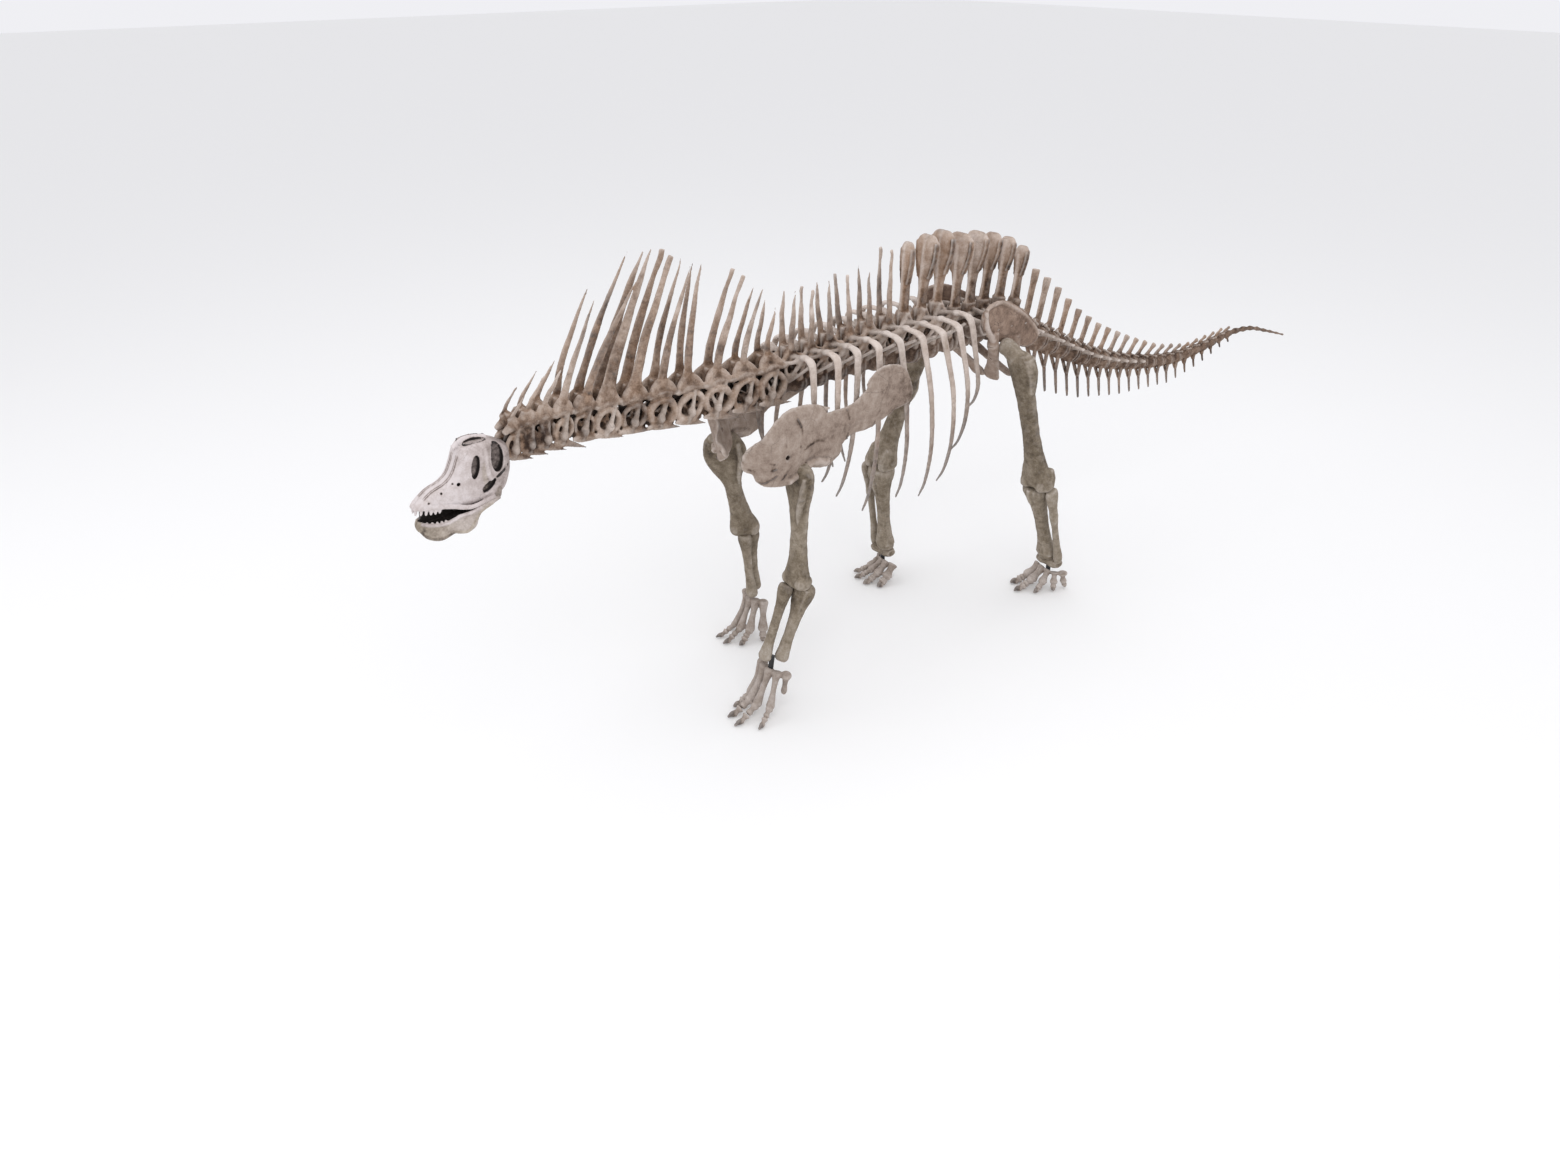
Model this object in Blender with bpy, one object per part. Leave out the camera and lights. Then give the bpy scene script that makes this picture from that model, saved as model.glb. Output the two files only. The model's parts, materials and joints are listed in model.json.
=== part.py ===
"""Life-size mounted skeleton of a plant-eating dinosaur with two rows of long spines on its neck.

The head points to -X, the left side to -Y and +Z is up. The four feet stand on z = 0.
Every bone is a group of bars: a bar is a run of rings, bridged and capped, and the
bars of one bone are fused into a single closed body.
Positions are first laid out with x = 0 at the middle of the back; the last step
moves everything so that the centre of the skeleton's floor area is the origin.
"""
import math
import random

import bmesh
import bpy
from mathutils import Matrix, Vector

# General sizes, in metres
GAP = 0.0003                 # clearance between bones that touch
FLOOR_SINK = 0.004           # how far the soles dip before the floor plane trims them flat
PIN_RADIUS = 0.016           # steel pins at the wrists and ankles
PIN_BITE = 0.03              # pin length that starts inside each bone before it is trimmed
FLAT_ANGLE = math.radians(0.3)   # faces closer than this to one plane are merged
BOX_REACH = 12.0             # side of the boxes that trim at the floor and the mid-plane

ACROSS = Vector((0.0, 1.0, 0.0))
ALONG = Vector((1.0, 0.0, 0.0))
UP = Vector((0.0, 0.0, 1.0))

# Centre line of the backbone, (x, z), from the skull to the tip of the tail
BACKBONE = [(-2.30, 1.90), (-2.00, 1.925), (-1.68, 1.91), (-1.30, 1.88), (-0.84, 1.86),
            (-0.40, 1.86), (0.20, 1.87), (0.70, 1.86), (1.10, 1.88), (1.45, 1.86),
            (1.84, 1.70), (2.47, 1.43), (3.02, 1.28), (3.50, 1.21), (3.95, 1.225),
            (4.30, 1.265), (4.60, 1.25), (4.86, 1.18), (5.15, 1.09)]

# Radius of the vertebral bodies at their joints, (x, radius)
BODY_RADIUS = [(-2.30, 0.040), (-1.90, 0.050), (-1.20, 0.062), (-0.50, 0.076), (0.30, 0.086),
               (1.00, 0.096), (1.60, 0.100), (2.20, 0.078), (3.00, 0.054), (3.80, 0.038),
               (4.40, 0.024), (5.15, 0.008)]
BODY_WAIST = 0.72            # radius between two joints against the radius at a joint

# Neck vertebrae from the second one back:
# x, tip x, tip z of the paired spines, fore-and-aft half width of a spine, blunt or pointed,
# and how much higher the right tip stands than the left one
NECK = [(-2.20, -2.10, 2.21, 0.016, "pointed", 0.02), (-2.11, -1.99, 2.28, 0.018, "pointed", -0.02),
        (-2.02, -1.90, 2.29, 0.022, "pointed", 0.01), (-1.92, -1.70, 2.63, 0.026, "pointed", 0.03),
        (-1.80, -1.46, 2.72, 0.030, "pointed", 0.14), (-1.66, -1.37, 2.79, 0.044, "pointed", -0.03),
        (-1.50, -1.24, 2.76, 0.040, "blunt", 0.02), (-1.32, -1.12, 2.69, 0.030, "pointed", 0.02),
        (-1.14, -1.04, 2.68, 0.030, "pointed", -0.03), (-0.95, -0.77, 2.58, 0.034, "blunt", 0.02),
        (-0.76, -0.62, 2.47, 0.028, "pointed", -0.02), (-0.57, -0.53, 2.36, 0.028, "pointed", 0.03)]
NECK_FRONT_COUNT = 4
NECK_MIDDLE_COUNT = 4
NECK_SPINE_GAP = 0.042       # half of the distance between the two rows of spines

# Back vertebrae: even steps, with spine tip heights and the ends of their ribs
BACK_START = -0.40
BACK_STEP = 0.155
BACK_SPINE_TOP = [2.42, 2.40, 2.43, 2.45, 2.46, 2.54, 2.56, 2.58, 2.59]
BACK_SPINE_LEAN = [0.01, -0.02, -0.05, -0.06, -0.04, -0.02, 0.02, 0.04, 0.02]
PAIRED_SPINES = 6            # the spines of the first vertebrae are split in two
BACK_PADDLE = [0.046, 0.082, 0.090]   # half width of the single spines that follow the paired ones
RIB_TIP_Z = [1.42, 1.30, 1.18, 1.03, 1.05, 1.03, 1.12, 1.29, 1.50]
RIB_TIP_X = [-0.40, -0.33, -0.22, -0.01, 0.26, 0.41, 0.52, 0.65, 0.88]
RIB_REACH = [0.25, 0.318, 0.328, 0.338, 0.352, 0.410, 0.460, 0.440, 0.340]

# Hip vertebrae
HIP_START = BACK_START + 9 * BACK_STEP + 0.01
HIP_STEP = 0.13
HIP_COUNT = 5
HIP_SPINE_TOP = [2.55, 2.54, 2.51, 2.46, 2.38]
HIP_PADDLE = [0.094, 0.086, 0.070, 0.058, 0.046]
HIP_RIB_REACH = [0.250, 0.240, 0.232, 0.226]

# Tail vertebrae
TAIL_START = HIP_START + (HIP_COUNT - 0.5) * HIP_STEP
TAIL_END = 5.15
TAIL_COUNT = 30
TAIL_PARTS = {"tail_base": 8, "tail_middle": 8, "tail_rear": 7, "tail_tip": 7}
TAIL_CREST = [(1.60, 2.33), (1.76, 2.21), (1.99, 2.07), (2.27, 1.84), (2.57, 1.66),
              (2.96, 1.49), (3.32, 1.355), (3.70, 1.285), (4.20, 1.325), (4.60, 1.29)]
TAIL_KEEL = [(1.98, 1.28), (2.34, 1.15), (2.85, 1.06), (3.53, 1.01), (3.93, 1.09),
             (4.26, 1.19), (4.60, 1.20)]
TAIL_SPINES = 22             # vertebrae with a spine
TAIL_WINGS = 12              # vertebrae with side processes

# Skull stations from the snout back: x, lower z, upper z, half width
SKULL = [(-2.746, 1.714, 1.734, 0.034), (-2.715, 1.718, 1.764, 0.058), (-2.65, 1.720, 1.814, 0.070),
         (-2.59, 1.714, 1.834, 0.076), (-2.548, 1.708, 1.870, 0.080), (-2.525, 1.704, 1.932, 0.082),
         (-2.505, 1.700, 1.990, 0.084), (-2.47, 1.694, 2.018, 0.089), (-2.41, 1.683, 2.020, 0.097),
         (-2.34, 1.668, 2.000, 0.105), (-2.28, 1.705, 1.974, 0.098), (-2.24, 1.790, 1.952, 0.066)]
TEETH_PER_SIDE = 6

# Lower jaw stations from the hinge to the chin: x, y, lower z, upper z
JAW = [(-2.318, 0.086, 1.698, 1.775), (-2.36, 0.090, 1.676, 1.726), (-2.42, 0.089, 1.650, 1.696),
       (-2.455, 0.088, 1.620, 1.690), (-2.49, 0.086, 1.570, 1.684), (-2.545, 0.081, 1.564, 1.686),
       (-2.60, 0.076, 1.558, 1.656), (-2.64, 0.068, 1.550, 1.650), (-2.69, 0.052, 1.568, 1.655),
       (-2.728, 0.022, 1.604, 1.660)]
JAW_THICKNESS = 0.013

# Joint centres of the limbs, with the left side at -Y
HIP = {"left": Vector((1.20, -0.30, 1.83)), "right": Vector((1.20, 0.30, 1.83))}
KNEE = {"left": Vector((1.48, -0.41, 0.83)), "right": Vector((0.78, 0.39, 0.87))}
ANKLE = {"left": Vector((1.71, -0.38, 0.205)), "right": Vector((0.90, 0.42, 0.205))}
SHOULDER = {"left": Vector((-0.59, -0.345, 1.50)), "right": Vector((-0.61, 0.345, 1.46))}
ELBOW = {"left": Vector((-0.59, -0.355, 0.75)), "right": Vector((-0.40, 0.35, 0.75))}
WRIST = {"left": Vector((-0.76, -0.35, 0.325)), "right": Vector((-0.33, 0.36, 0.31))}
CORACOID_FOLD = {"left": 0.0, "right": math.radians(48.0)}    # turn of the plate ahead of the shoulder joint
ARM_ACROSS = {"left": Vector((0.0, 1.0, 0.0)), "right": Vector((-0.80, 0.60, 0.0))}

# Where the toes end on the floor, (x, y), from the inner toe to the outer one; a toe with a third
# number is short and ends at that height
FORE_TOES = {"left": [(-0.94, -0.22), (-1.03, -0.28), (-1.05, -0.37), (-0.96, -0.48), (-0.71, -0.40, 0.11)],
             "right": [(-0.34, 0.24), (-0.50, 0.28), (-0.57, 0.36), (-0.56, 0.45), (-0.42, 0.48)]}
HIND_TOES = {"left": [(1.53, -0.21), (1.46, -0.30), (1.55, -0.40), (1.68, -0.46), (1.80, -0.47)],
             "right": [(0.74, 0.30), (0.69, 0.39), (0.70, 0.49), (0.76, 0.56), (0.88, 0.56)]}
FORE_PALM_TOP = 0.27
FORE_SPREAD = {"left": 0.048, "right": 0.042}    # between the upper ends of the long bones of the hand
HIND_SOLE_TOP = 0.125
HEAD_SWELL = 1.25            # upper ends of a foot's long bones, wide enough to touch each other
FOOT_ARC = 0.20              # how far the outer long bones of a foot stand back, in spreads
TOE_STOUTNESS = [1.22, 1.12, 1.0, 0.92, 0.84]    # from the inner toe to the outer one

# Shoulder blade stations from the chest back: x, lower z, upper z, half thickness
BLADE = [(-0.935, 1.530, 1.595, 0.014), (-0.900, 1.487, 1.680, 0.021), (-0.830, 1.430, 1.748, 0.025),
         (-0.740, 1.408, 1.820, 0.032), (-0.630, 1.442, 1.866, 0.042), (-0.530, 1.475, 1.855, 0.042),
         (-0.390, 1.440, 1.802, 0.034), (-0.330, 1.530, 1.788, 0.028), (-0.220, 1.598, 1.786, 0.023),
         (-0.110, 1.600, 1.830, 0.020), (-0.015, 1.622, 1.895, 0.018), (0.035, 1.638, 1.972, 0.017),
         (0.120, 1.655, 1.960, 0.015), (0.205, 1.668, 1.850, 0.012), (0.258, 1.695, 1.745, 0.009)]

# Hip bone stations: x, lower z, upper z, distance from the mid-plane
HIP_BLADE = [(0.985, 2.050, 2.120, 0.262), (1.030, 1.970, 2.138, 0.252), (1.090, 1.905, 2.145, 0.244),
             (1.160, 1.872, 2.142, 0.238), (1.260, 1.835, 2.095, 0.232), (1.390, 1.795, 2.020, 0.226),
             (1.500, 1.762, 1.925, 0.222), (1.560, 1.790, 1.855, 0.220)]

BONE_COLOUR = (0.56, 0.47, 0.38, 1.0)
SKULL_COLOUR = (0.66, 0.60, 0.57, 1.0)
STEEL_COLOUR = (0.10, 0.10, 0.11, 1.0)


def along_line(table, x):
    """Value at x on straight lines between the points of a table."""
    for (x0, v0), (x1, v1) in zip(table, table[1:]):
        if x <= x1:
            return v0 + (v1 - v0) * (x - x0) / (x1 - x0)
    return table[-1][1]


def backbone_z(x):
    """Height of the backbone at x, on a smooth curve through its points."""
    last = len(BACKBONE) - 2
    i = max(0, min(last, sum(1 for px, _ in BACKBONE[1:-1] if px <= x)))
    (x1, z1), (x2, z2) = BACKBONE[i], BACKBONE[i + 1]
    x0, z0 = BACKBONE[max(i - 1, 0)]
    x3, z3 = BACKBONE[min(i + 2, last + 1)]
    slope1 = (z2 - z0) / (x2 - x0)
    slope2 = (z3 - z1) / (x3 - x1)
    span = x2 - x1
    t = (x - x1) / span
    return ((2 * t**3 - 3 * t**2 + 1) * z1 + (t**3 - 2 * t**2 + t) * slope1 * span
            + (3 * t**2 - 2 * t**3) * z2 + (t**3 - t**2) * slope2 * span)


def backbone_point(x, up=0.0, along=0.0, side=0.0):
    """Point near the backbone at x: up and along follow its slope, side is across it."""
    step = 0.02
    run = Vector((2 * step, 0.0, backbone_z(x + step) - backbone_z(x - step))).normalized()
    rise = Vector((-run.z, 0.0, run.x))
    return Vector((x, side, backbone_z(x))) + rise * up + run * along


def bar(points, sizes, across=ACROSS, sides=6, turned=False):
    """A run of rings through points. A size is (half width along across, half width square to it)."""
    points = [Vector(p) for p in points]
    rings = []
    for i, point in enumerate(points):
        before, after = points[max(i - 1, 0)], points[min(i + 1, len(points) - 1)]
        run = (after - before).normalized()
        first = (across - run * across.dot(run)).normalized()
        size = sizes[i] if isinstance(sizes[i], tuple) else (sizes[i], sizes[i])
        rings.append((point, first, run.cross(first).normalized(), size[0], size[1]))
    return {"rings": rings, "sides": sides, "turned": turned}


def stations(rows, sides=8):
    """A bar whose rings stand upright across x: rows of (x, y, lower z, upper z, half width)."""
    rings = [(Vector((x, y, (low + high) / 2)), ACROSS, UP, half, (high - low) / 2)
             for x, y, low, high, half in rows]
    return {"rings": rings, "sides": sides, "turned": True}


def moved(piece, change):
    """The same bar after a rotation and shift given as a 4x4 matrix."""
    turn = change.to_3x3()
    rings = [(change @ c, turn @ u, turn @ v, ru, rv) for c, u, v, ru, rv in piece["rings"]]
    return {**piece, "rings": rings}


def bar_mesh(piece, grow=0.0):
    """Bridge the rings of a bar, cap both ends and return the mesh; grow thickens it all round."""
    sides = piece["sides"]
    spread = grow / math.cos(math.pi / sides)
    turn = Matrix.Rotation(math.pi / sides if piece["turned"] else 0.0, 4, "Z")
    reach = 1 / math.cos(math.pi / sides) if piece["turned"] else 1.0
    rings = piece["rings"]
    work = bmesh.new()
    loops = []
    for i, (centre, u, v, ru, rv) in enumerate(rings):
        out = Vector()
        if i == 0:
            out = (rings[0][0] - rings[1][0]).normalized() * grow
        if i == len(rings) - 1:
            out = (rings[-1][0] - rings[-2][0]).normalized() * grow
        place = Matrix((u * (ru + spread), v * (rv + spread), u.cross(v))).transposed().to_4x4()
        place.translation = centre + out
        made = bmesh.ops.create_circle(work, cap_ends=i in (0, len(rings) - 1), segments=sides,
                                       radius=reach, matrix=place @ turn)
        loops.append(list({edge for vert in made["verts"] for edge in vert.link_edges}))
    for ring, following in zip(loops, loops[1:]):
        bmesh.ops.bridge_loops(work, edges=ring + following)
    bmesh.ops.recalc_face_normals(work, faces=work.faces)
    bmesh.ops.triangulate(work, faces=work.faces, quad_method="FIXED")
    mesh = bpy.data.meshes.new("bar")
    work.to_mesh(mesh)
    work.free()
    return mesh


def box_mesh(low, high):
    """Closed box between two corners."""
    work = bmesh.new()
    size = Vector(high) - Vector(low)
    place = Matrix.Translation((Vector(high) + Vector(low)) / 2) @ Matrix.Diagonal((*size, 1.0))
    bmesh.ops.create_cube(work, size=1.0, matrix=place)
    mesh = bpy.data.meshes.new("box")
    work.to_mesh(mesh)
    work.free()
    return mesh


def combine(mesh, others, operation):
    """Join or cut a mesh with closed meshes in one Boolean, which uses up all of them."""
    if not others:
        return mesh
    group = bpy.data.collections.new("operands")
    target = bpy.data.objects.new("target", mesh)
    bpy.context.scene.collection.objects.link(target)
    bpy.context.scene.collection.children.link(group)
    for other in others:
        group.objects.link(bpy.data.objects.new("operand", other))
    boolean = target.modifiers.new("combine", "BOOLEAN")
    boolean.operation = operation
    boolean.operand_type = "COLLECTION"
    boolean.collection = group
    boolean.solver = "MANIFOLD"     # every operand is closed
    graph = bpy.context.evaluated_depsgraph_get()
    result = bpy.data.meshes.new_from_object(target.evaluated_get(graph))
    used = list(group.objects) + [target]
    meshes = [item.data for item in used]
    for item in used:
        bpy.data.objects.remove(item)
    for old in meshes:
        bpy.data.meshes.remove(old)
    bpy.data.collections.remove(group)
    return result


def tidy(mesh):
    """Keep the closed surface that encloses the most, and merge its faces that lie in one plane."""
    work = bmesh.new()
    work.from_mesh(mesh)
    left, shells = set(work.verts), []
    while left:
        shell, queue = set(), [left.pop()]
        while queue:
            vert = queue.pop()
            shell.add(vert)
            for edge in vert.link_edges:
                other = edge.other_vert(vert)
                if other in left:
                    left.discard(other)
                    queue.append(other)
        shells.append(shell)
    largest = max(shells, key=enclosed)
    bmesh.ops.delete(work, geom=[v for v in work.verts if v not in largest], context="VERTS")
    bmesh.ops.dissolve_limit(work, angle_limit=FLAT_ANGLE, verts=work.verts, edges=work.edges)
    bmesh.ops.triangulate(work, faces=work.faces)
    work.to_mesh(mesh)
    work.free()
    return mesh


def enclosed(shell):
    """Volume inside one closed surface."""
    total = 0.0
    for face in {face for vert in shell for face in vert.link_faces}:
        first, *rest = [vert.co for vert in face.verts]
        for a, b in zip(rest, rest[1:]):
            total += first.dot(a.cross(b)) / 6
    return total


def near(piece, box):
    """Whether a bar comes within a box of (low corner, high corner)."""
    low, high = box
    for axis in range(3):
        reach = [(c[axis], max(ru, rv)) for c, _, _, ru, rv in piece["rings"]]
        if min(p - r for p, r in reach) > high[axis] or max(p + r for p, r in reach) < low[axis]:
            return False
    return True


def bounds(mesh):
    """Low and high corner of a mesh."""
    spots = [vert.co for vert in mesh.vertices]
    return (Vector([min(p[a] for p in spots) for a in range(3)]),
            Vector([max(p[a] for p in spots) for a in range(3)]))


BARS = {}                    # the bars of every bone that is already made


def bone_mesh(name, pieces, seats=(), trims=()):
    """Fuse the bars of one bone, cut it clear of the bones it sits on, and trim it with boxes."""
    BARS[name] = pieces
    mesh = combine(bar_mesh(pieces[0]), [bar_mesh(piece) for piece in pieces[1:]], "UNION")
    box = bounds(mesh)
    cutters = [bar_mesh(piece, GAP) for seat in seats for piece in BARS[seat] if near(piece, box)]
    cutters += [box_mesh(*trim) for trim in trims]
    return tidy(combine(mesh, cutters, "DIFFERENCE"))


def add_node(name, mesh, material):
    """Make one object with its origin at the middle of the bone."""
    low, high = bounds(mesh)
    middle = (low + high) / 2
    mesh.transform(Matrix.Translation(-middle))
    mesh.name = name
    mesh.materials.clear()
    mesh.materials.append(material)
    mesh.shade_smooth()
    mesh.set_sharp_from_angle(angle=math.radians(35.0))
    node = bpy.data.objects.new(name, mesh)
    node.location = middle
    bpy.context.scene.collection.objects.link(node)
    return node


def add_bone(name, pieces, material, seats=(), trims=()):
    """Make a bone and its object."""
    return add_node(name, bone_mesh(name, pieces, seats, trims), material)


def new_material(name, colour, roughness, metallic=0.0):
    """Principled material with one colour."""
    material = bpy.data.materials.new(name)
    material.use_nodes = True
    shader = material.node_tree.nodes["Principled BSDF"]
    shader.inputs["Base Color"].default_value = colour
    shader.inputs["Roughness"].default_value = roughness
    shader.inputs["Metallic"].default_value = metallic
    return material


def vertebral_bodies(joints, overlap=0.004, sides=6):
    """One bar of spool-shaped vertebral bodies between the joints, given as x positions."""
    points, sizes = [], []
    for i, x in enumerate(joints):
        radius = along_line(BODY_RADIUS, x)
        shift = -overlap if i == 0 else overlap if i == len(joints) - 1 else 0.0
        points.append(backbone_point(x, along=shift))
        sizes.append(radius)
        if i < len(joints) - 1:
            middle = (x + joints[i + 1]) / 2
            points.append(backbone_point(middle))
            sizes.append(along_line(BODY_RADIUS, middle) * BODY_WAIST)
    return bar(points, sizes, sides=sides)


def spine(base, tip, side, wide, thick, blunt, bow=0.02):
    """One spine of the back from base to tip, bowed forward, tapering to a point or cut blunt."""
    base, tip = Vector(base), Vector(tip)
    low = base.lerp(tip, 0.33) - ALONG * bow + ACROSS * side * 0.004
    high = base.lerp(tip, 0.70) - ALONG * bow * 0.6 + ACROSS * side * 0.003
    end = 0.6 if blunt else 0.28
    sizes = [(thick * 1.3, wide * 1.25), (thick, wide), (thick * 0.75, wide * 0.72),
             (thick * end, wide * end)]
    return bar([base, low, high, tip], sizes, sides=4)


def neck_vertebra(x, step, row):
    """Arch, side wings, articular processes, ribs and paired spines of one neck vertebra."""
    _, tip_x, tip_z, wide, end, uneven = row
    radius = along_line(BODY_RADIUS, x)
    reach = step / 2
    pieces = [bar([backbone_point(x, up=radius * 0.3), backbone_point(x, up=radius * 1.2 + 0.09)],
                  [(radius * 0.8, reach * 0.72), (radius * 0.95, reach * 0.55)], sides=4, turned=True),
              bar([backbone_point(x, up=radius * 0.2, side=-radius * 2.0),
                   backbone_point(x, up=radius * 0.9),
                   backbone_point(x, up=radius * 0.2, side=radius * 2.0)],
                  [(reach * 0.45, 0.010), (reach * 0.7, 0.020), (reach * 0.45, 0.010)],
                  across=ALONG, sides=4, turned=True)]
    for side in (-1, 1):
        root = backbone_point(x, up=-radius * 0.5, along=-reach * 0.5, side=side * radius * 1.5)
        tail = backbone_point(x, up=-radius * 1.35, along=reach * 1.9, side=side * radius * 1.45)
        wing = backbone_point(x, up=radius * 0.3, along=-reach * 0.2, side=side * radius * 1.7)
        pieces.append(bar([wing, root, tail], [0.012, (0.012, 0.016), 0.004], sides=4))
        base = backbone_point(x, up=radius * 1.2 + 0.055, side=side * NECK_SPINE_GAP * 0.9)
        jitter = VARY.uniform(-0.008, 0.008)
        tip = (tip_x + jitter, side * NECK_SPINE_GAP, tip_z + side * uneven / 2)
        pieces.append(spine(base, tip, side, wide, wide * 0.62, end == "blunt"))
    return pieces


def neck_part(first, count, joints):
    """Bars of a run of neck vertebrae."""
    pieces = [vertebral_bodies(joints[first:first + count + 1])]
    for i in range(first, first + count):
        pieces += neck_vertebra(NECK[i][0], joints[i + 1] - joints[i], NECK[i])
    return pieces


def rib(x, side, reach, tip, lift):
    """One rib: from the vertebral body over the side process, out, down and in again."""
    z = backbone_z(x)
    tip_x, tip_z = tip
    shoulder = 0.19 if reach > 0.3 else 0.16
    drop = z - tip_z
    points = [(x, side * 0.045, z + 0.02), (x, side * shoulder, z + lift),
              (x + (tip_x - x) * 0.15, side * (shoulder + reach) * 0.56, z + lift * 0.72),
              (x + (tip_x - x) * 0.45, side * reach * 0.985, z - drop * 0.18),
              (x + (tip_x - x) * 0.75, side * reach * 1.03, z - drop * 0.55),
              (tip_x, side * reach * 0.80, tip_z)]
    sizes = [(0.016, 0.016), (0.024, 0.017), (0.022, 0.012), (0.020, 0.011), (0.018, 0.010),
             (0.010, 0.006)]
    return bar(points, sizes, across=ALONG, sides=4, turned=True)


def back_vertebra(i):
    """Arch, side processes, spine or spines and both ribs of one back vertebra."""
    x = BACK_START + i * BACK_STEP
    radius = along_line(BODY_RADIUS, x)
    lift = 0.19 + 0.006 * i
    arch_top = radius + 0.12
    wing = 0.175 if RIB_REACH[i] > 0.3 else 0.15
    pieces = [bar([backbone_point(x, up=radius * 0.3), backbone_point(x, up=arch_top)],
                  [(0.045, BACK_STEP * 0.36), (0.052, BACK_STEP * 0.30)], sides=4, turned=True),
              bar([backbone_point(x, up=lift, side=-wing), backbone_point(x, up=lift * 0.82),
                   backbone_point(x, up=lift, side=wing)],
                  [(0.028, 0.013), (0.045, 0.024), (0.028, 0.013)],
                  across=ALONG, sides=4, turned=True)]
    tip = Vector((x + BACK_SPINE_LEAN[i], 0.0, BACK_SPINE_TOP[i]))
    base = backbone_point(x, up=arch_top - 0.03)
    if i < PAIRED_SPINES:
        for side in (-1, 1):
            jitter = VARY.uniform(-0.012, 0.012)
            shift = ACROSS * side * 0.046 + ALONG * jitter
            pieces.append(spine(base + ACROSS * side * 0.034, tip + shift + UP * jitter, side,
                                0.026, 0.018, i % 2 == 1, bow=0.0))
    else:
        pieces.append(paddle(base, tip, BACK_PADDLE[i - PAIRED_SPINES]))
    for side in (-1, 1):
        pieces.append(rib(x, side, RIB_REACH[i], (RIB_TIP_X[i], RIB_TIP_Z[i]), lift))
    return pieces


def paddle(base, tip, top_width):
    """A single broad spine that widens across the body towards its rounded top."""
    sizes = [(0.034, 0.036), (0.028, 0.030), (top_width * 0.80, 0.034), (top_width, 0.038),
             (top_width * 0.62, 0.024)]
    points = [base, base.lerp(tip, 0.34), base.lerp(tip, 0.66), base.lerp(tip, 0.90), tip]
    return bar(points, sizes, sides=6)


def hip_vertebrae():
    """Fused hip vertebrae with their tall spines and the ribs that carry the hip bones."""
    joints = [HIP_START + (i - 0.5) * HIP_STEP for i in range(HIP_COUNT + 1)]
    front, rear = joints[0], joints[-1]
    pieces = [vertebral_bodies(joints),
              bar([backbone_point(front + 0.02, up=0.12), backbone_point(rear - 0.02, up=0.12)],
                  [(0.05, 0.085), (0.045, 0.08)], sides=4, turned=True)]
    for i in range(HIP_COUNT):
        x = HIP_START + i * HIP_STEP
        base = backbone_point(x, up=0.16)
        tip = Vector((x + 0.02 + 0.022 * i, 0.0, HIP_SPINE_TOP[i]))
        pieces.append(paddle(base, tip, HIP_PADDLE[i]))
        if i < len(HIP_RIB_REACH):
            half = HIP_RIB_REACH[i]
            pieces.append(bar([backbone_point(x, up=0.11, side=-half), backbone_point(x, up=0.03),
                               backbone_point(x, up=0.11, side=half)],
                              [(0.030, 0.050), (0.036, 0.046), (0.030, 0.050)],
                              across=ALONG, sides=4, turned=True))
    return pieces


def tail_joints():
    """Joint positions of the tail, with vertebrae that get a little shorter to the tip."""
    shrink = 0.992
    lengths = [shrink**i for i in range(TAIL_COUNT)]
    scale = (TAIL_END - TAIL_START) / sum(lengths)
    joints = [TAIL_START]
    for length in lengths:
        joints.append(joints[-1] + length * scale)
    return joints


def tail_part(first, count, joints):
    """Bars of a run of tail vertebrae: bodies, spines, side processes and the chevrons below."""
    last = first + count == TAIL_COUNT
    pieces = [vertebral_bodies(joints[first:first + count + 1], overlap=0.0 if last else 0.004)]
    for i in range(first, first + count):
        if i >= TAIL_SPINES:
            continue
        x = (joints[i] + joints[i + 1]) / 2
        radius = along_line(BODY_RADIUS, x)
        fade = i / TAIL_SPINES
        lean = 0.13 - 0.07 * fade
        tip = Vector((x + lean, 0.0, along_line(TAIL_CREST, x + lean)))
        half = 0.040 - 0.026 * fade
        pieces.append(bar([backbone_point(x, up=radius * 0.5), backbone_point(x, up=radius * 1.5, along=0.01), tip],
                          [(radius * 0.42, half), (0.020 - 0.010 * fade, half * 0.75),
                           (0.024 - 0.014 * fade, half * 0.9)], sides=4, turned=True))
        foot_x = x + 0.075
        foot = Vector((foot_x, 0.0, along_line(TAIL_KEEL, foot_x)))
        if foot_x > TAIL_KEEL[0][0] - 0.12:
            pieces.append(bar([backbone_point(x + 0.03, up=-radius * 0.5), foot],
                              [(0.020 - 0.010 * fade, 0.016 - 0.007 * fade), (0.008, 0.012 - 0.004 * fade)],
                              sides=4, turned=True))
        if i < TAIL_WINGS:
            reach = radius + 0.085 * (1 - i / TAIL_WINGS) + 0.01
            pieces.append(bar([backbone_point(x, up=radius * 0.4, side=-reach), backbone_point(x, up=radius * 0.4),
                               backbone_point(x, up=radius * 0.4, side=reach)],
                              [(0.016, 0.010), (0.034, 0.024), (0.016, 0.010)],
                              across=ALONG, sides=4, turned=True))
    return pieces


def skull_bars():
    """Skull with its teeth: upright stations from the snout to the back of the head."""
    pieces = [stations([(x, 0.0, low, high, half) for x, low, high, half in SKULL])]
    condyle = backbone_point(-2.225)
    pieces.append(bar([Vector((-2.29, 0.0, 1.88)), condyle], [0.050, 0.036]))
    for side in (-1, 1):
        for i in range(TEETH_PER_SIDE):
            x = -2.738 + 0.019 * i
            y = side * (0.018 + 0.040 * (1 - (1 - i / (TEETH_PER_SIDE - 1))**2))
            pieces.append(bar([(x, y, 1.742), (x - 0.004, y, 1.698)], [0.0070, 0.003], sides=4))
    return pieces


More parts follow.
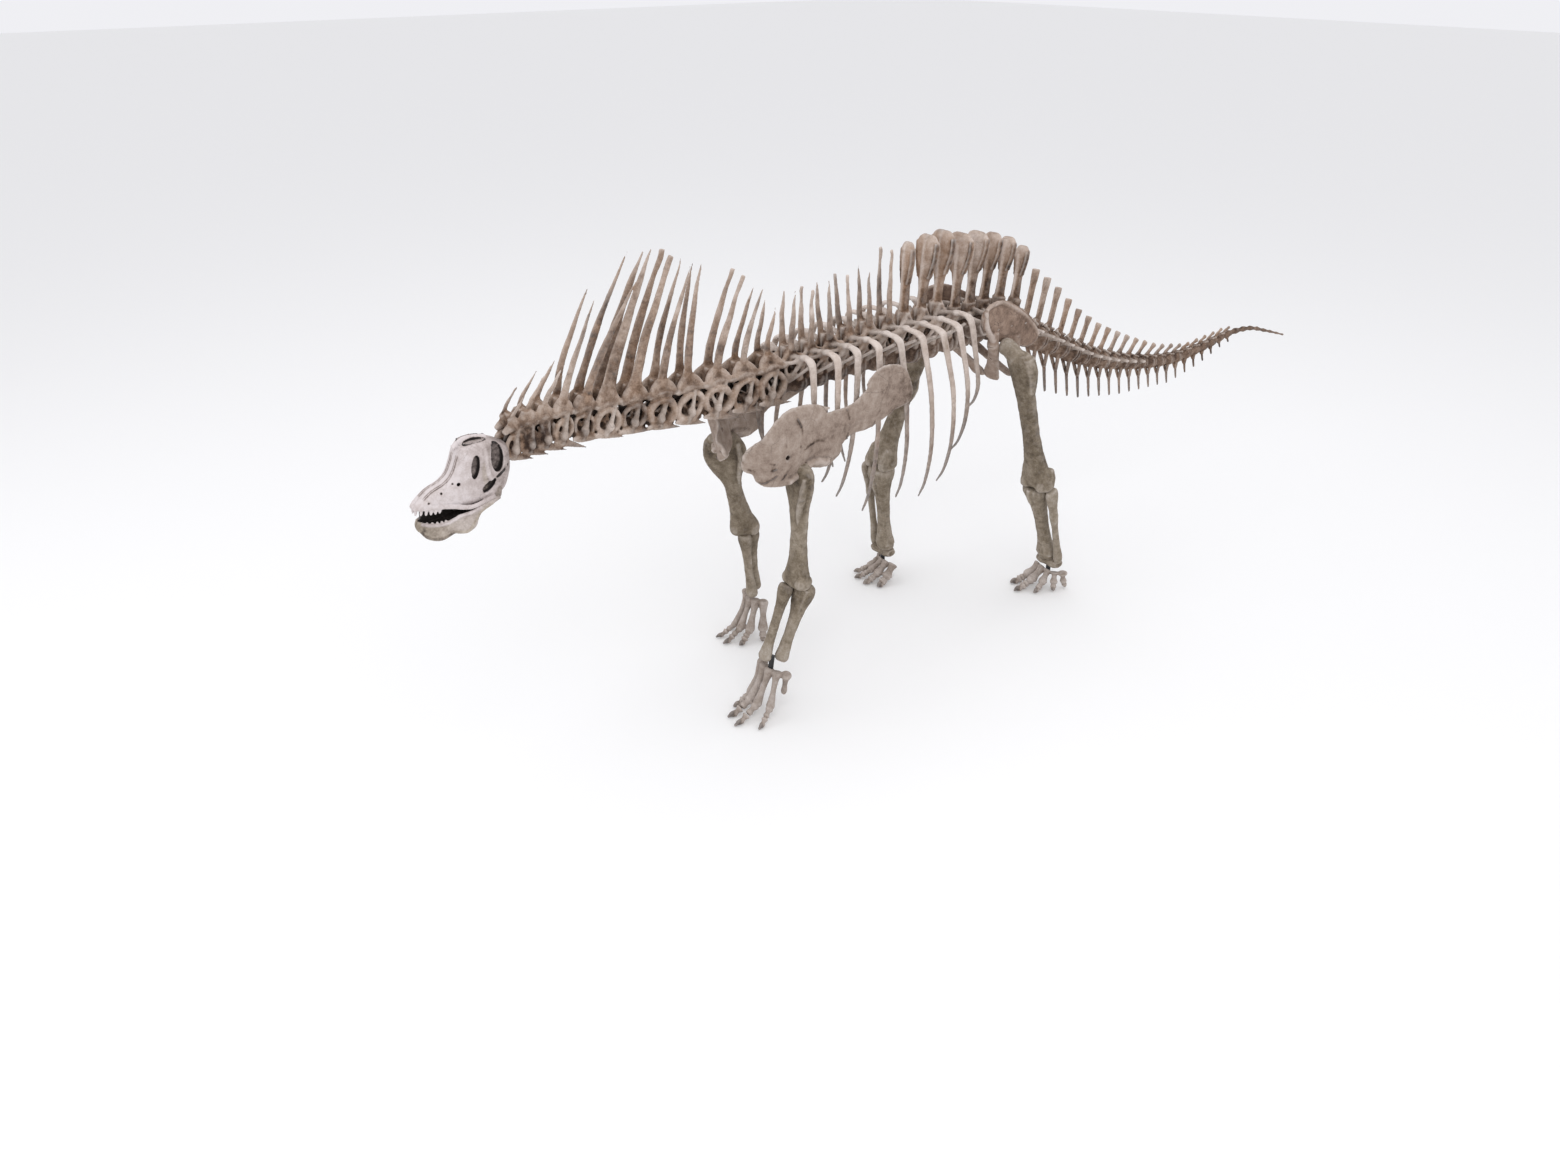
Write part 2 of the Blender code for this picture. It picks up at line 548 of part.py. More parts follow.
def skull_openings():
    """Pockets of the eye sockets, the openings before and below them, and the nostrils."""
    cuts = []
    for side in (-1, 1):
        outer, inner = side * 0.16, side * 0.052
        cuts.append(bar([(-2.324, outer, 1.902), (-2.324, inner, 1.902)], [(0.034, 0.072)] * 2,
                        across=ALONG, sides=8))
        cuts.append(bar([(-2.434, outer, 1.890), (-2.434, inner, 1.890)], [(0.021, 0.060)] * 2,
                        across=(ALONG - UP * 0.17).normalized(), sides=8))
        cuts.append(bar([(-2.372, outer, 1.780), (-2.372, inner, 1.780)], [(0.046, 0.015)] * 2,
                        across=(ALONG + UP * 0.9).normalized(), sides=6))
        cuts.append(bar([(-2.418, side * 0.030, 2.08), (-2.418, side * 0.030, 1.975)],
                        [(0.019, 0.074)] * 2, sides=8))
    return cuts


def jaw_bars():
    """Lower jaw: two upright boards that meet at the chin."""
    pieces = []
    for side in (-1, 1):
        rings = []
        rows = [(x, side * y, low, high) for x, y, low, high in JAW]
        rows.append((-2.745, -side * 0.012, 1.610, 1.664))
        for i, (x, y, low, high) in enumerate(rows):
            before, after = rows[max(i - 1, 0)], rows[min(i + 1, len(rows) - 1)]
            run = Vector((after[0] - before[0], after[1] - before[1], 0.0)).normalized()
            rings.append((Vector((x, y, (low + high) / 2)), UP.cross(run), UP,
                          JAW_THICKNESS, (high - low) / 2))
        pieces.append({"rings": rings, "sides": 6, "turned": False})
    return pieces


def blade_y(x):
    """Distance of the shoulder blade from the mid-plane at x."""
    if x > -0.55:
        return 0.335 + 0.04 * (x + 0.55)
    return 0.335 - 0.16 * (x + 0.55) if x > -0.8 else 0.375 - 0.75 * (-0.8 - x)


def shoulder_blade(side_name):
    """Shoulder blade and coracoid of one side, with the coracoid turned in about the shoulder joint."""
    side = -1.0 if side_name == "left" else 1.0
    socket = SHOULDER["left"]
    fold = CORACOID_FOLD[side_name]
    rows = []
    for x, low, high, half in BLADE:
        ahead = max(0.0, socket.x - x)
        rows.append((x + ahead * (1 - math.cos(fold)), side * (blade_y(x) - ahead * math.sin(fold)),
                     low, high, half))
    shift = SHOULDER[side_name] - Vector((socket.x, side * -socket.y, socket.z))
    return [moved(stations(rows, sides=8), Matrix.Translation(shift))]


def shaft(top, bottom, rows, sides=8, across=ACROSS, bend=Vector()):
    """Long bone between two joints: rows of (share of the length, half width across, fore and aft)."""
    points = [top.lerp(bottom, share) + bend * math.sin(math.pi * share) for share, _, _ in rows]
    return bar(points, [(a, b) for _, a, b in rows], across=across, sides=sides)


def upper_arm(side_name):
    """Humerus: broad flat top with a crest, slim shaft, double lower end."""
    top, bottom = SHOULDER[side_name], ELBOW[side_name]
    out = Vector((0.0, -1.0 if side_name == "left" else 1.0, 0.0))
    crown, neck = (0.130, 0.110) if side_name == "right" else (0.112, 0.078)
    rows = [(-0.03, 0.070, 0.040), (0.04, 0.112, 0.052), (0.16, crown, 0.048), (0.32, neck, 0.044),
            (0.56, 0.056, 0.046), (0.80, 0.070, 0.050), (0.92, 0.098, 0.066), (0.985, 0.088, 0.056)]
    return [shaft(top, bottom, rows, across=ARM_ACROSS[side_name], bend=out * 0.01)]


def forearm(side_name):
    """Ulna behind and outside, radius in front and inside."""
    top, bottom = ELBOW[side_name], WRIST[side_name]
    out = -1.0 if side_name == "left" else 1.0
    ulna = shaft(top + Vector((0.045, out * 0.035, 0.02)), bottom + Vector((0.040, out * 0.026, 0.0)),
                 [(0.0, 0.060, 0.062), (0.14, 0.066, 0.066), (0.38, 0.040, 0.042), (0.72, 0.032, 0.034),
                  (0.94, 0.042, 0.038), (1.0, 0.036, 0.032)], sides=6)
    radius = shaft(top + Vector((-0.045, -out * 0.035, 0.015)), bottom + Vector((-0.034, -out * 0.034, 0.0)),
                   [(0.0, 0.046, 0.034), (0.10, 0.050, 0.038), (0.40, 0.030, 0.026), (0.72, 0.031, 0.026),
                    (0.94, 0.044, 0.036), (1.0, 0.038, 0.030)], sides=6)
    return ulna, radius


def thigh(side_name):
    """Femur: round head turned in to the hip socket, straight shaft, two wide knuckles."""
    top, bottom = HIP[side_name], KNEE[side_name]
    out = Vector((0.0, -1.0 if side_name == "left" else 1.0, 0.0))
    start = top + out * 0.085 - UP * 0.01
    rows = [(0.0, 0.070, 0.048), (0.05, 0.108, 0.062), (0.14, 0.100, 0.058), (0.34, 0.068, 0.052),
            (0.62, 0.064, 0.052), (0.82, 0.086, 0.064), (0.93, 0.125, 0.090), (0.99, 0.115, 0.080)]
    head = bar([start - out * 0.02 - UP * 0.03, top - out * 0.04 + UP * 0.015], [0.066, 0.056], sides=8)
    return [shaft(start, bottom, rows), head]


def shin(side_name):
    """Tibia, and the slim fibula outside it."""
    top, bottom = KNEE[side_name], ANKLE[side_name]
    out = Vector((0.0, -1.0 if side_name == "left" else 1.0, 0.0))
    tibia = shaft(top - out * 0.025 + UP * 0.015, bottom - out * 0.02 + UP * 0.03,
                  [(0.0, 0.088, 0.078), (0.08, 0.094, 0.086), (0.30, 0.056, 0.056), (0.65, 0.046, 0.046),
                   (0.90, 0.066, 0.056), (1.0, 0.060, 0.050)], sides=8)
    fibula = shaft(top + out * 0.105 + UP * 0.01, bottom + out * 0.075 + UP * 0.02,
                   [(0.0, 0.030, 0.050), (0.10, 0.032, 0.052), (0.45, 0.022, 0.026), (0.88, 0.026, 0.034),
                    (1.0, 0.024, 0.030)], sides=6)
    return tibia, fibula


def ankle_bone(side_name):
    """Astragalus: a roller across the lower end of the shin."""
    centre = ANKLE[side_name]
    return [bar([centre - ACROSS * 0.085, centre - ACROSS * 0.03, centre + ACROSS * 0.04,
                 centre + ACROSS * 0.085],
                [(0.040, 0.026), (0.055, 0.036), (0.055, 0.036), (0.040, 0.026)], across=ALONG, sides=8)]


def foot(top, toes, top_z, knuckle_z, spread, thick, claws):
    """Five long bones side by side in an arc, each with a toe that ends on the floor."""
    pieces = []
    middle = (len(toes) - 1) / 2
    ahead = Vector((toes[2][0] - top.x, toes[2][1] - top.y, 0.0)).normalized()
    beside = Vector((-ahead.y, ahead.x, 0.0))
    if Vector((toes[-1][0] - toes[0][0], toes[-1][1] - toes[0][1], 0.0)).dot(beside) < 0:
        beside = -beside
    for i, toe in enumerate(toes):
        stout = thick * TOE_STOUTNESS[i]
        offset = (i - middle) * spread
        head = Vector((top.x, top.y, top_z)) + beside * offset - ahead * (i - middle)**2 * spread * FOOT_ARC
        if len(toe) > 2:
            end = Vector(toe)
            pieces.append(bar([head, head.lerp(end, 0.5), end],
                              [thick * HEAD_SWELL, stout * 0.80, stout * 0.70], sides=6))
            continue
        end = Vector((*toe, 0.0))
        flat = Vector((end.x - head.x, end.y - head.y, 0.0))
        knuckle = Vector((head.x, head.y, knuckle_z)) + flat * 0.36
        waist = head.lerp(knuckle, 0.5)
        pieces.append(bar([head, waist, knuckle], [thick * HEAD_SWELL, stout * 0.80, stout], sides=6))
        first = Vector((head.x, head.y, knuckle_z * 0.56)) + flat * 0.62
        second = Vector((head.x, head.y, thick * 0.52 - FLOOR_SINK)) + flat * 0.84
        last = Vector((end.x, end.y, 0.008 - FLOOR_SINK / 2))
        toe_sizes = [stout * 0.90, stout * 0.74, (thick * 0.50, thick * 0.56),
                     0.006 if i < claws else thick * 0.35]
        pieces.append(bar([knuckle.lerp(waist, 0.12), first, second, last], toe_sizes, sides=6))
    return pieces


def pin(top, bottom, z_top, z_bottom):
    """Upright steel pin whose ends start inside the bones and are trimmed to them."""
    high = Vector((top.x, top.y, z_top + PIN_BITE))
    low = Vector((bottom.x, bottom.y, z_bottom - PIN_BITE))
    return [bar([high, low], [PIN_RADIUS, PIN_RADIUS], sides=12)]


def build_head_and_neck(bone, skull_bone):
    """Skull, lower jaw and the three lengths of the neck."""
    skull = bone_mesh("skull", skull_bars())
    for cut in skull_openings():
        skull = combine(skull, [bar_mesh(cut)], "DIFFERENCE")
    add_node("skull", tidy(skull), skull_bone)
    add_bone("jaw", jaw_bars(), skull_bone, seats=["skull"])
    joints = [-2.245]
    joints += [(a[0] + b[0]) / 2 for a, b in zip(NECK, NECK[1:])]
    joints.append(BACK_START - BACK_STEP / 2)
    rear_start = NECK_FRONT_COUNT + NECK_MIDDLE_COUNT
    add_bone("neck_front", neck_part(0, NECK_FRONT_COUNT, joints), bone, seats=["skull"])
    add_bone("neck_middle", neck_part(NECK_FRONT_COUNT, NECK_MIDDLE_COUNT, joints), bone,
             seats=["neck_front"])
    add_bone("neck_rear", neck_part(rear_start, len(NECK) - rear_start, joints), bone,
             seats=["neck_middle"])


def build_rib_cage(bone):
    """Back vertebrae with their ribs, parted at the mid-plane into a left and a right half."""
    count = len(BACK_SPINE_TOP)
    joints = [BACK_START + (i - 0.5) * BACK_STEP for i in range(count + 1)]
    pieces = [vertebral_bodies(joints)]
    for i in range(count):
        pieces += back_vertebra(i)
    whole = bone_mesh("rib_cage", pieces, seats=["neck_rear"])
    reach = BOX_REACH
    halves = {"ribcage_left": ((-reach, -GAP / 2, -reach), (reach, reach, reach)),
              "ribcage_right": ((-reach, -reach, -reach), (reach, GAP / 2, reach))}
    for name, box in halves.items():
        half = combine(whole.copy(), [box_mesh(*box)], "DIFFERENCE")
        add_node(name, tidy(half), bone)


def build_hips(bone):
    """Hip vertebrae, hip blades, pubic bones and seat bones."""
    add_bone("sacrum", hip_vertebrae(), bone, seats=["rib_cage"])
    for name, out in (("left", -1.0), ("right", 1.0)):
        rows = [(x, out * y, low, high, 0.022) for x, low, high, y in HIP_BLADE]
        blade = stations(rows, sides=8)
        stalk = bar([(1.12, out * 0.240, 1.93), (1.115, out * 0.236, 1.845)], [(0.034, 0.040), (0.036, 0.036)])
        heel = bar([(1.33, out * 0.230, 1.88), (1.345, out * 0.226, 1.790)], [(0.030, 0.034), (0.034, 0.032)])
        add_bone("ilium_" + name, [blade, stalk, heel], bone, seats=["sacrum"])
        reach = BOX_REACH
        other_side = ((-reach, -GAP / 2, -reach), (reach, reach, reach))
        if name == "right":
            other_side = ((-reach, -reach, -reach), (reach, GAP / 2, reach))
        pubis = bar([(1.115, out * 0.236, 1.860), (1.16, out * 0.21, 1.78), (1.27, out * 0.12, 1.65),
                     (1.335, out * 0.062, 1.56), (1.35, out * 0.055, 1.53)],
                    [(0.034, 0.046), (0.040, 0.030), (0.050, 0.022), (0.066, 0.026), (0.060, 0.020)])
        add_bone("pubis_" + name, [pubis], bone, seats=["ilium_" + name], trims=[other_side])
        ischium = bar([(1.345, out * 0.226, 1.800), (1.38, out * 0.20, 1.74), (1.49, out * 0.10, 1.61),
                       (1.60, out * 0.034, 1.50), (1.65, out * 0.026, 1.47)],
                      [(0.030, 0.040), (0.034, 0.034), (0.018, 0.030), (0.028, 0.026), (0.024, 0.020)])
        add_bone("ischium_" + name, [ischium], bone, seats=["ilium_" + name], trims=[other_side])


def build_tail(bone):
    """The tail in four lengths."""
    joints = tail_joints()
    first, seat = 0, "sacrum"
    for name, count in TAIL_PARTS.items():
        add_bone(name, tail_part(first, count, joints), bone, seats=[seat])
        first, seat = first + count, name


def build_limbs(bone, steel):
    """Shoulder blades, legs, feet, and the steel pins at the wrists and ankles."""
    reach = BOX_REACH
    floor = ((-reach, -reach, -1.0), (reach, reach, 0.0))
    for name in ("left", "right"):
        add_bone("scapula_" + name, shoulder_blade(name), bone, seats=["rib_cage"])
        add_bone("humerus_" + name, upper_arm(name), bone, seats=["scapula_" + name])
        ulna, radius = forearm(name)
        add_bone("ulna_" + name, [ulna], bone, seats=["humerus_" + name])
        add_bone("radius_" + name, [radius], bone, seats=["humerus_" + name, "ulna_" + name])
        palm = WRIST[name] + (Vector((-0.015, 0.0, 0.0)))
        add_bone("manus_" + name, foot(palm, FORE_TOES[name], FORE_PALM_TOP, 0.080, FORE_SPREAD[name], 0.027, 4),
                 bone, trims=[floor])
        add_bone("stand_pin_wrist_" + name, pin(WRIST[name], palm, WRIST[name].z, FORE_PALM_TOP), steel,
                 seats=["ulna_" + name, "radius_" + name, "manus_" + name])
        add_bone("femur_" + name, thigh(name), bone,
                 seats=["ilium_" + name, "pubis_" + name, "ischium_" + name])
        tibia, fibula = shin(name)
        add_bone("tibia_" + name, [tibia], bone, seats=["femur_" + name])
        add_bone("fibula_" + name, [fibula], bone, seats=["femur_" + name, "tibia_" + name])
        add_bone("astragalus_" + name, ankle_bone(name), bone,
                 seats=["tibia_" + name, "fibula_" + name])
        sole = ANKLE[name]
        add_bone("pes_" + name, foot(sole, HIND_TOES[name], HIND_SOLE_TOP, 0.060, 0.046, 0.029, 5),
                 bone, trims=[floor])
        add_bone("stand_pin_ankle_" + name, pin(sole, sole, sole.z - 0.03, HIND_SOLE_TOP), steel,
                 seats=["astragalus_" + name, "pes_" + name])


def centre_on_floor():
    """Hang every bone on an empty that puts the middle of the skeleton's floor area at the origin."""
    nodes = [item for item in bpy.data.objects if item.type == "MESH"]
    corners = []
    for node in nodes:
        low, high = bounds(node.data)
        corners += [low + node.location, high + node.location]
    middle_x = (min(c.x for c in corners) + max(c.x for c in corners)) / 2
    middle_y = (min(c.y for c in corners) + max(c.y for c in corners)) / 2
    frame = bpy.data.objects.new("skeleton", None)
    frame.location = (-middle_x, -middle_y, 0.0)
    bpy.context.scene.collection.objects.link(frame)
    for node in nodes:
        node.parent = frame


for item in list(bpy.data.objects):
    bpy.data.objects.remove(item)
VARY = random.Random(11)
bone_material = new_material("cast_bone", BONE_COLOUR, 0.8)
skull_material = new_material("cast_skull", SKULL_COLOUR, 0.75)
steel_material = new_material("dark_steel", STEEL_COLOUR, 0.45, 0.9)
build_head_and_neck(bone_material, skull_material)
build_rib_cage(bone_material)
build_hips(bone_material)
build_tail(bone_material)
build_limbs(bone_material, steel_material)
centre_on_floor()
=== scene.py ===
import json
import math
import random

import bmesh
import bpy
import numpy as np
from mathutils import Matrix, Vector
from mathutils.bvhtree import BVHTree

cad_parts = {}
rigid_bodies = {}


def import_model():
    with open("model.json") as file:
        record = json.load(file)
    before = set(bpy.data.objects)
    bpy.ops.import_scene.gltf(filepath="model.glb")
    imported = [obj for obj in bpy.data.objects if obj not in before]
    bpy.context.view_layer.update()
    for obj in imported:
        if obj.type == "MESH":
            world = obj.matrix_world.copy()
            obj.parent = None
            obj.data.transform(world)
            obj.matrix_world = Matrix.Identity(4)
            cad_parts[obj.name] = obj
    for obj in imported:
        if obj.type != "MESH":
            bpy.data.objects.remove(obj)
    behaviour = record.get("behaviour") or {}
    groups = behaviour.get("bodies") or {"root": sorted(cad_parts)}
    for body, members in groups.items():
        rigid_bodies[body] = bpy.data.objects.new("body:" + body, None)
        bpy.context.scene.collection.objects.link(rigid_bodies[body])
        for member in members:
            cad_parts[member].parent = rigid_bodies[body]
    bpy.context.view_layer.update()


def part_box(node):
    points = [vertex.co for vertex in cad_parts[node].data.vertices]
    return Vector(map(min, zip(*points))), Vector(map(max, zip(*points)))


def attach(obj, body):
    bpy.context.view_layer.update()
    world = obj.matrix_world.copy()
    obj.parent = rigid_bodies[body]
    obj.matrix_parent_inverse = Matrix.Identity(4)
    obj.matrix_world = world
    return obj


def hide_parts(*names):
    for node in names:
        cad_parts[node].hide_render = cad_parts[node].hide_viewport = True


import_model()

# The skeleton is laid out with x = 0 in the middle of the back, as its bones were drawn, and every
# piece is shifted to the frame by the place of one ankle pin, whose drawn place is known.
pin_low, pin_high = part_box("stand_pin_ankle_left")
ANKLE_PIN_DRAWN = Vector((1.71, -0.38, 0.0))
SHIFT = Vector(((pin_low.x + pin_high.x) / 2, (pin_low.y + pin_high.y) / 2, 0.0)) - ANKLE_PIN_DRAWN

# Camera, floor and light. The camera stands ahead of the skeleton on its left, higher than its back,
# as the photographer did. A plain pale floor and broad soft lamps give the even light of a studio.
PICTURE_WIDTH, PICTURE_HEIGHT = 1560, 1150
FOCAL_PIXELS = 1250
AXIS_PIXEL = (697, 343)          # where the optical axis meets the picture
SENSOR = 36.0
CAMERA_PLACE = Vector((-4.87, -5.17, 4.34))
CAMERA_DIP, CAMERA_HEADING = 18.2, -36.5     # degrees below level, and from +Y towards +X
camera_data = bpy.data.cameras.new("camera")
camera_data.sensor_width = SENSOR
camera_data.lens = FOCAL_PIXELS * SENSOR / PICTURE_WIDTH
camera_data.shift_x = (PICTURE_WIDTH / 2 - AXIS_PIXEL[0]) / PICTURE_WIDTH
camera_data.shift_y = (AXIS_PIXEL[1] - PICTURE_HEIGHT / 2) / PICTURE_WIDTH
camera_data.clip_end = 200.0
camera = bpy.data.objects.new("camera", camera_data)
camera.location = CAMERA_PLACE + SHIFT
camera.rotation_euler = (math.radians(90.0 - CAMERA_DIP), 0.0, math.radians(CAMERA_HEADING))
bpy.context.scene.collection.objects.link(camera)
bpy.context.scene.camera = camera


def linear(hex_colour):
    """sRGB hex colour as linear RGBA."""
    parts = [int(hex_colour[i:i + 2], 16) / 255 for i in (1, 3, 5)]
    return tuple(c / 12.92 if c <= 0.04045 else ((c + 0.055) / 1.055)**2.4 for c in parts) + (1.0,)


def add_node(tree, kind, settings=(), inputs=()):
    """Adds a shader node, sets its properties, and sets or links its inputs."""
    node = tree.nodes.new(kind)
    for name, value in dict(settings).items():
        setattr(node, name, value)
    for name, value in dict(inputs).items():
        if isinstance(value, bpy.types.NodeSocket):
            tree.links.new(value, node.inputs[name])
        else:
            node.inputs[name].default_value = value
    return node


def new_paint(name):
    """An empty material with a Principled shader: the material, its tree and the shader."""
    material = bpy.data.materials.new(name)
    material.use_nodes = True
    return material, material.node_tree, material.node_tree.nodes["Principled BSDF"]


# matte white studio floor: a seamless paper sweep, with no pattern that shows
FLOOR_HALF_SIZE = 60.0
FLOOR_GAP = 0.001                # the paper lies this far below the soles, so that they don't flicker
floor_paint, _, floor_shader = new_paint("white_paper_sweep")
floor_shader.inputs["Base Color"].default_value = linear("#f4f4f3")
floor_shader.inputs["Roughness"].default_value = 0.9
sheet = bmesh.new()
bmesh.ops.create_grid(sheet, x_segments=1, y_segments=1, size=FLOOR_HALF_SIZE)
floor_mesh = bpy.data.meshes.new("floor")
sheet.to_mesh(floor_mesh)
sheet.free()
floor = bpy.data.objects.new("floor", floor_mesh)
floor.location.z = -FLOOR_GAP
floor_mesh.materials.append(floor_paint)
bpy.context.scene.collection.objects.link(floor)

world = bpy.data.worlds.new("studio_air")
world.use_nodes = True
world.node_tree.nodes["Background"].inputs["Color"].default_value = linear("#fbfbff")
world.node_tree.nodes["Background"].inputs["Strength"].default_value = 0.90
bpy.context.scene.world = world
bpy.context.scene.view_settings.view_transform = "Standard"
# name: place, aim, width and height, watts
LAMPS = {"key": ((-5.0, -5.5, 8.5), (0.0, 0.0, 1.2), (6.0, 6.0), 230.0),
         "inside_shade_tone": ((-9.0, 3.5, 5.0), (-1.0, 0.0, 1.2), (6.0, 4.0), 60.0),
         "top": ((1.0, 0.5, 9.0), (0.5, 0.0, 1.0), (9.0, 5.0), 130.0)}
for name, (place, aim, size, watts) in LAMPS.items():
    lamp_data = bpy.data.lights.new("lamp_" + name, "AREA")
    lamp_data.shape = "RECTANGLE"
    lamp_data.size, lamp_data.size_y = size
    lamp_data.energy = watts
    lamp = bpy.data.objects.new("lamp_" + name, lamp_data)
    lamp.location = place
    lamp.rotation_euler = (Vector(aim) - Vector(place)).to_track_quat("-Z", "Y").to_euler()
    bpy.context.scene.collection.objects.link(lamp)

# Feet. Each foot is five spool-shaped long bones that stand side by side, with toes of two short
# bones and a claw. They are resin casts, pinned together, painted grey with darker claws.
ACROSS = Vector((0.0, 1.0, 0.0))
ALONG = Vector((1.0, 0.0, 0.0))
UP = Vector((0.0, 0.0, 1.0))
THINNEST = 0.0015                # no bar is thinner than this, in half width


def smooth_rows(rows, steps):
    """More stations between the given ones, on smooth curves through all their numbers."""
    table = np.array(rows, float)
    padded = np.vstack([2 * table[0] - table[1], table, 2 * table[-1] - table[-2]])
    result = []
    for i in range(1, len(padded) - 2):
        p0, p1, p2, p3 = padded[i - 1:i + 3]
        for k in range(steps):
            t = k / steps
            result.append(0.5 * (2 * p1 + (p2 - p0) * t + (2 * p0 - 5 * p1 + 4 * p2 - p3) * t**2
                                 + (3 * p1 - p0 - 3 * p2 + p3) * t**3))
    result.append(table[-1])
    result = np.array(result)
    result[:, 3:] = np.maximum(result[:, 3:], THINNEST)
    return result


def new_clay():
    """The parts of one bone before they are fused: meshes to join, with the tone and warmth of their
    paint face by face, and meshes to cut away."""
    return {"joined": bmesh.new(), "tones": [], "cuts": []}


def full_rows(rows):
    """Rows as (x, y, z, half width, other half width), from rows that give a place or one width."""
    rows = [(*row[0], *row[1:]) if isinstance(row[0], Vector) else row for row in rows]
    return [row if len(row) == 5 else (*row, row[-1]) for row in rows]


def ring_mesh(rows, across, sides, steps, square=0.0, facing=None):
    """Closed bar through stations (x, y, z, half width along across, half width square to it). Square
    turns its round section, at 0, towards a box with rounded corners, at 1. The rings stand square to
    the bar's run, or to facing."""
    table = smooth_rows(rows, steps)
    work = bmesh.new()
    loops = []
    for i, (x, y, z, a, b) in enumerate(table):
        run = facing or Vector(table[min(i + 1, len(table) - 1)][:3]
                               - table[max(i - 1, 0)][:3]).normalized()
        first = (across - run * across.dot(run)).normalized()
        place = Matrix((first * a, run.cross(first) * b, run)).transposed().to_4x4()
        place.translation = (x, y, z)
        ends = i in (0, len(table) - 1)
        made = bmesh.ops.create_circle(work, cap_ends=ends, segments=sides, radius=1.0)
        for vert in made["verts"]:
            corner = abs(vert.co.x)**4 + abs(vert.co.y)**4
            vert.co *= 1 - square + square / corner**0.25
            vert.co = place @ vert.co
        loops.append(list({edge for vert in made["verts"] for edge in vert.link_edges}))
    for one, following in zip(loops, loops[1:]):
        bmesh.ops.bridge_loops(work, edges=one + following)
    bmesh.ops.recalc_face_normals(work, faces=work.faces)
    work.verts.ensure_lookup_table()
    shares = [min(vert.index // sides for vert in face.verts) / (len(table) - 1) for face in work.faces]
    mesh = bpy.data.meshes.new("bar")
    work.to_mesh(mesh)
    work.free()
    return mesh, shares


def loft(clay, rows, across=ACROSS, sides=12, steps=3, tone=0.5, warm=0.0, square=0.0, facing=None):
    """Adds a bar to a bone. Tone, dark 0 to pale 1, and warm may be several values from start to end."""
    tones = tone if isinstance(tone, (tuple, list)) else (tone, tone)
    warms = warm if isinstance(warm, (tuple, list)) else (warm, warm)
    mesh, shares = ring_mesh(full_rows(rows), Vector(across), sides, steps, square, facing)
    clay["joined"].from_mesh(mesh)
    tone_marks, warm_marks = np.linspace(0.0, 1.0, len(tones)), np.linspace(0.0, 1.0, len(warms))
    clay["tones"] += [(float(np.interp(share, tone_marks, tones)),
                       float(np.interp(share, warm_marks, warms))) for share in shares]
    bpy.data.meshes.remove(mesh)


def mirrored(side, rows):
    """Rows (x, y, z, half widths) as they are on the right side, 1, or on the left side, -1."""
    return [(row[0], side * row[1], *row[2:]) for row in rows]


def knob(clay, centre, sizes, tone=0.5, warm=0.0, along=UP, across=ACROSS):
    """Adds a rounded lump: half sizes along, across and square to both."""
    centre, along = Vector(centre), Vector(along).normalized()
    rows = [(centre + along * sizes[0] * math.sin(angle), sizes[1] * math.cos(angle),
             sizes[2] * math.cos(angle)) for angle in (-1.35, -0.9, -0.4, 0.0, 0.4, 0.9, 1.35)]
    loft(clay, rows, across=across, steps=1, tone=tone, warm=warm)


def scoop(clay, rows, across=ACROSS, sides=12, steps=2):
    """Takes a bar away from a bone."""
    clay["cuts"].append(ring_mesh(full_rows(rows), Vector(across), sides, steps)[0])


OWN_SHARE = 0.4                  # what a point keeps of its own value in one round of averaging


def spread(values, ends, rounds):
    """Averages each point's values with its neighbours', so many times over."""
    points = len(values)
    here, there = ends.T
    count = np.bincount(ends.ravel(), minlength=points).clip(1)[:, None]
    for _ in range(rounds):
        totals = []
        for column in values.T:
            total = np.bincount(here, column[there], points) + np.bincount(there, column[here], points)
            totals.append(total)
        values = values * OWN_SHARE + np.stack(totals, axis=1) / count * (1 - OWN_SHARE)
    return values


def rough_texture(name, size):
    """Cloud texture whose lumps have the given size in metres."""
    texture = bpy.data.textures.new(name, "CLOUDS")
    texture.noise_scale = size
    texture.noise_depth = 2
    return texture


COARSE_LUMPS = rough_texture("coarse_lumps", 0.06)
FINE_LUMPS = rough_texture("fine_lumps", 0.016)
RELIEF_DEPTH = 0.006             # a bump this high, in metres, counts as a full ridge
RELIEF_ROUNDS = 14               # rounds of averaging that flatten the skin, to measure bumps against


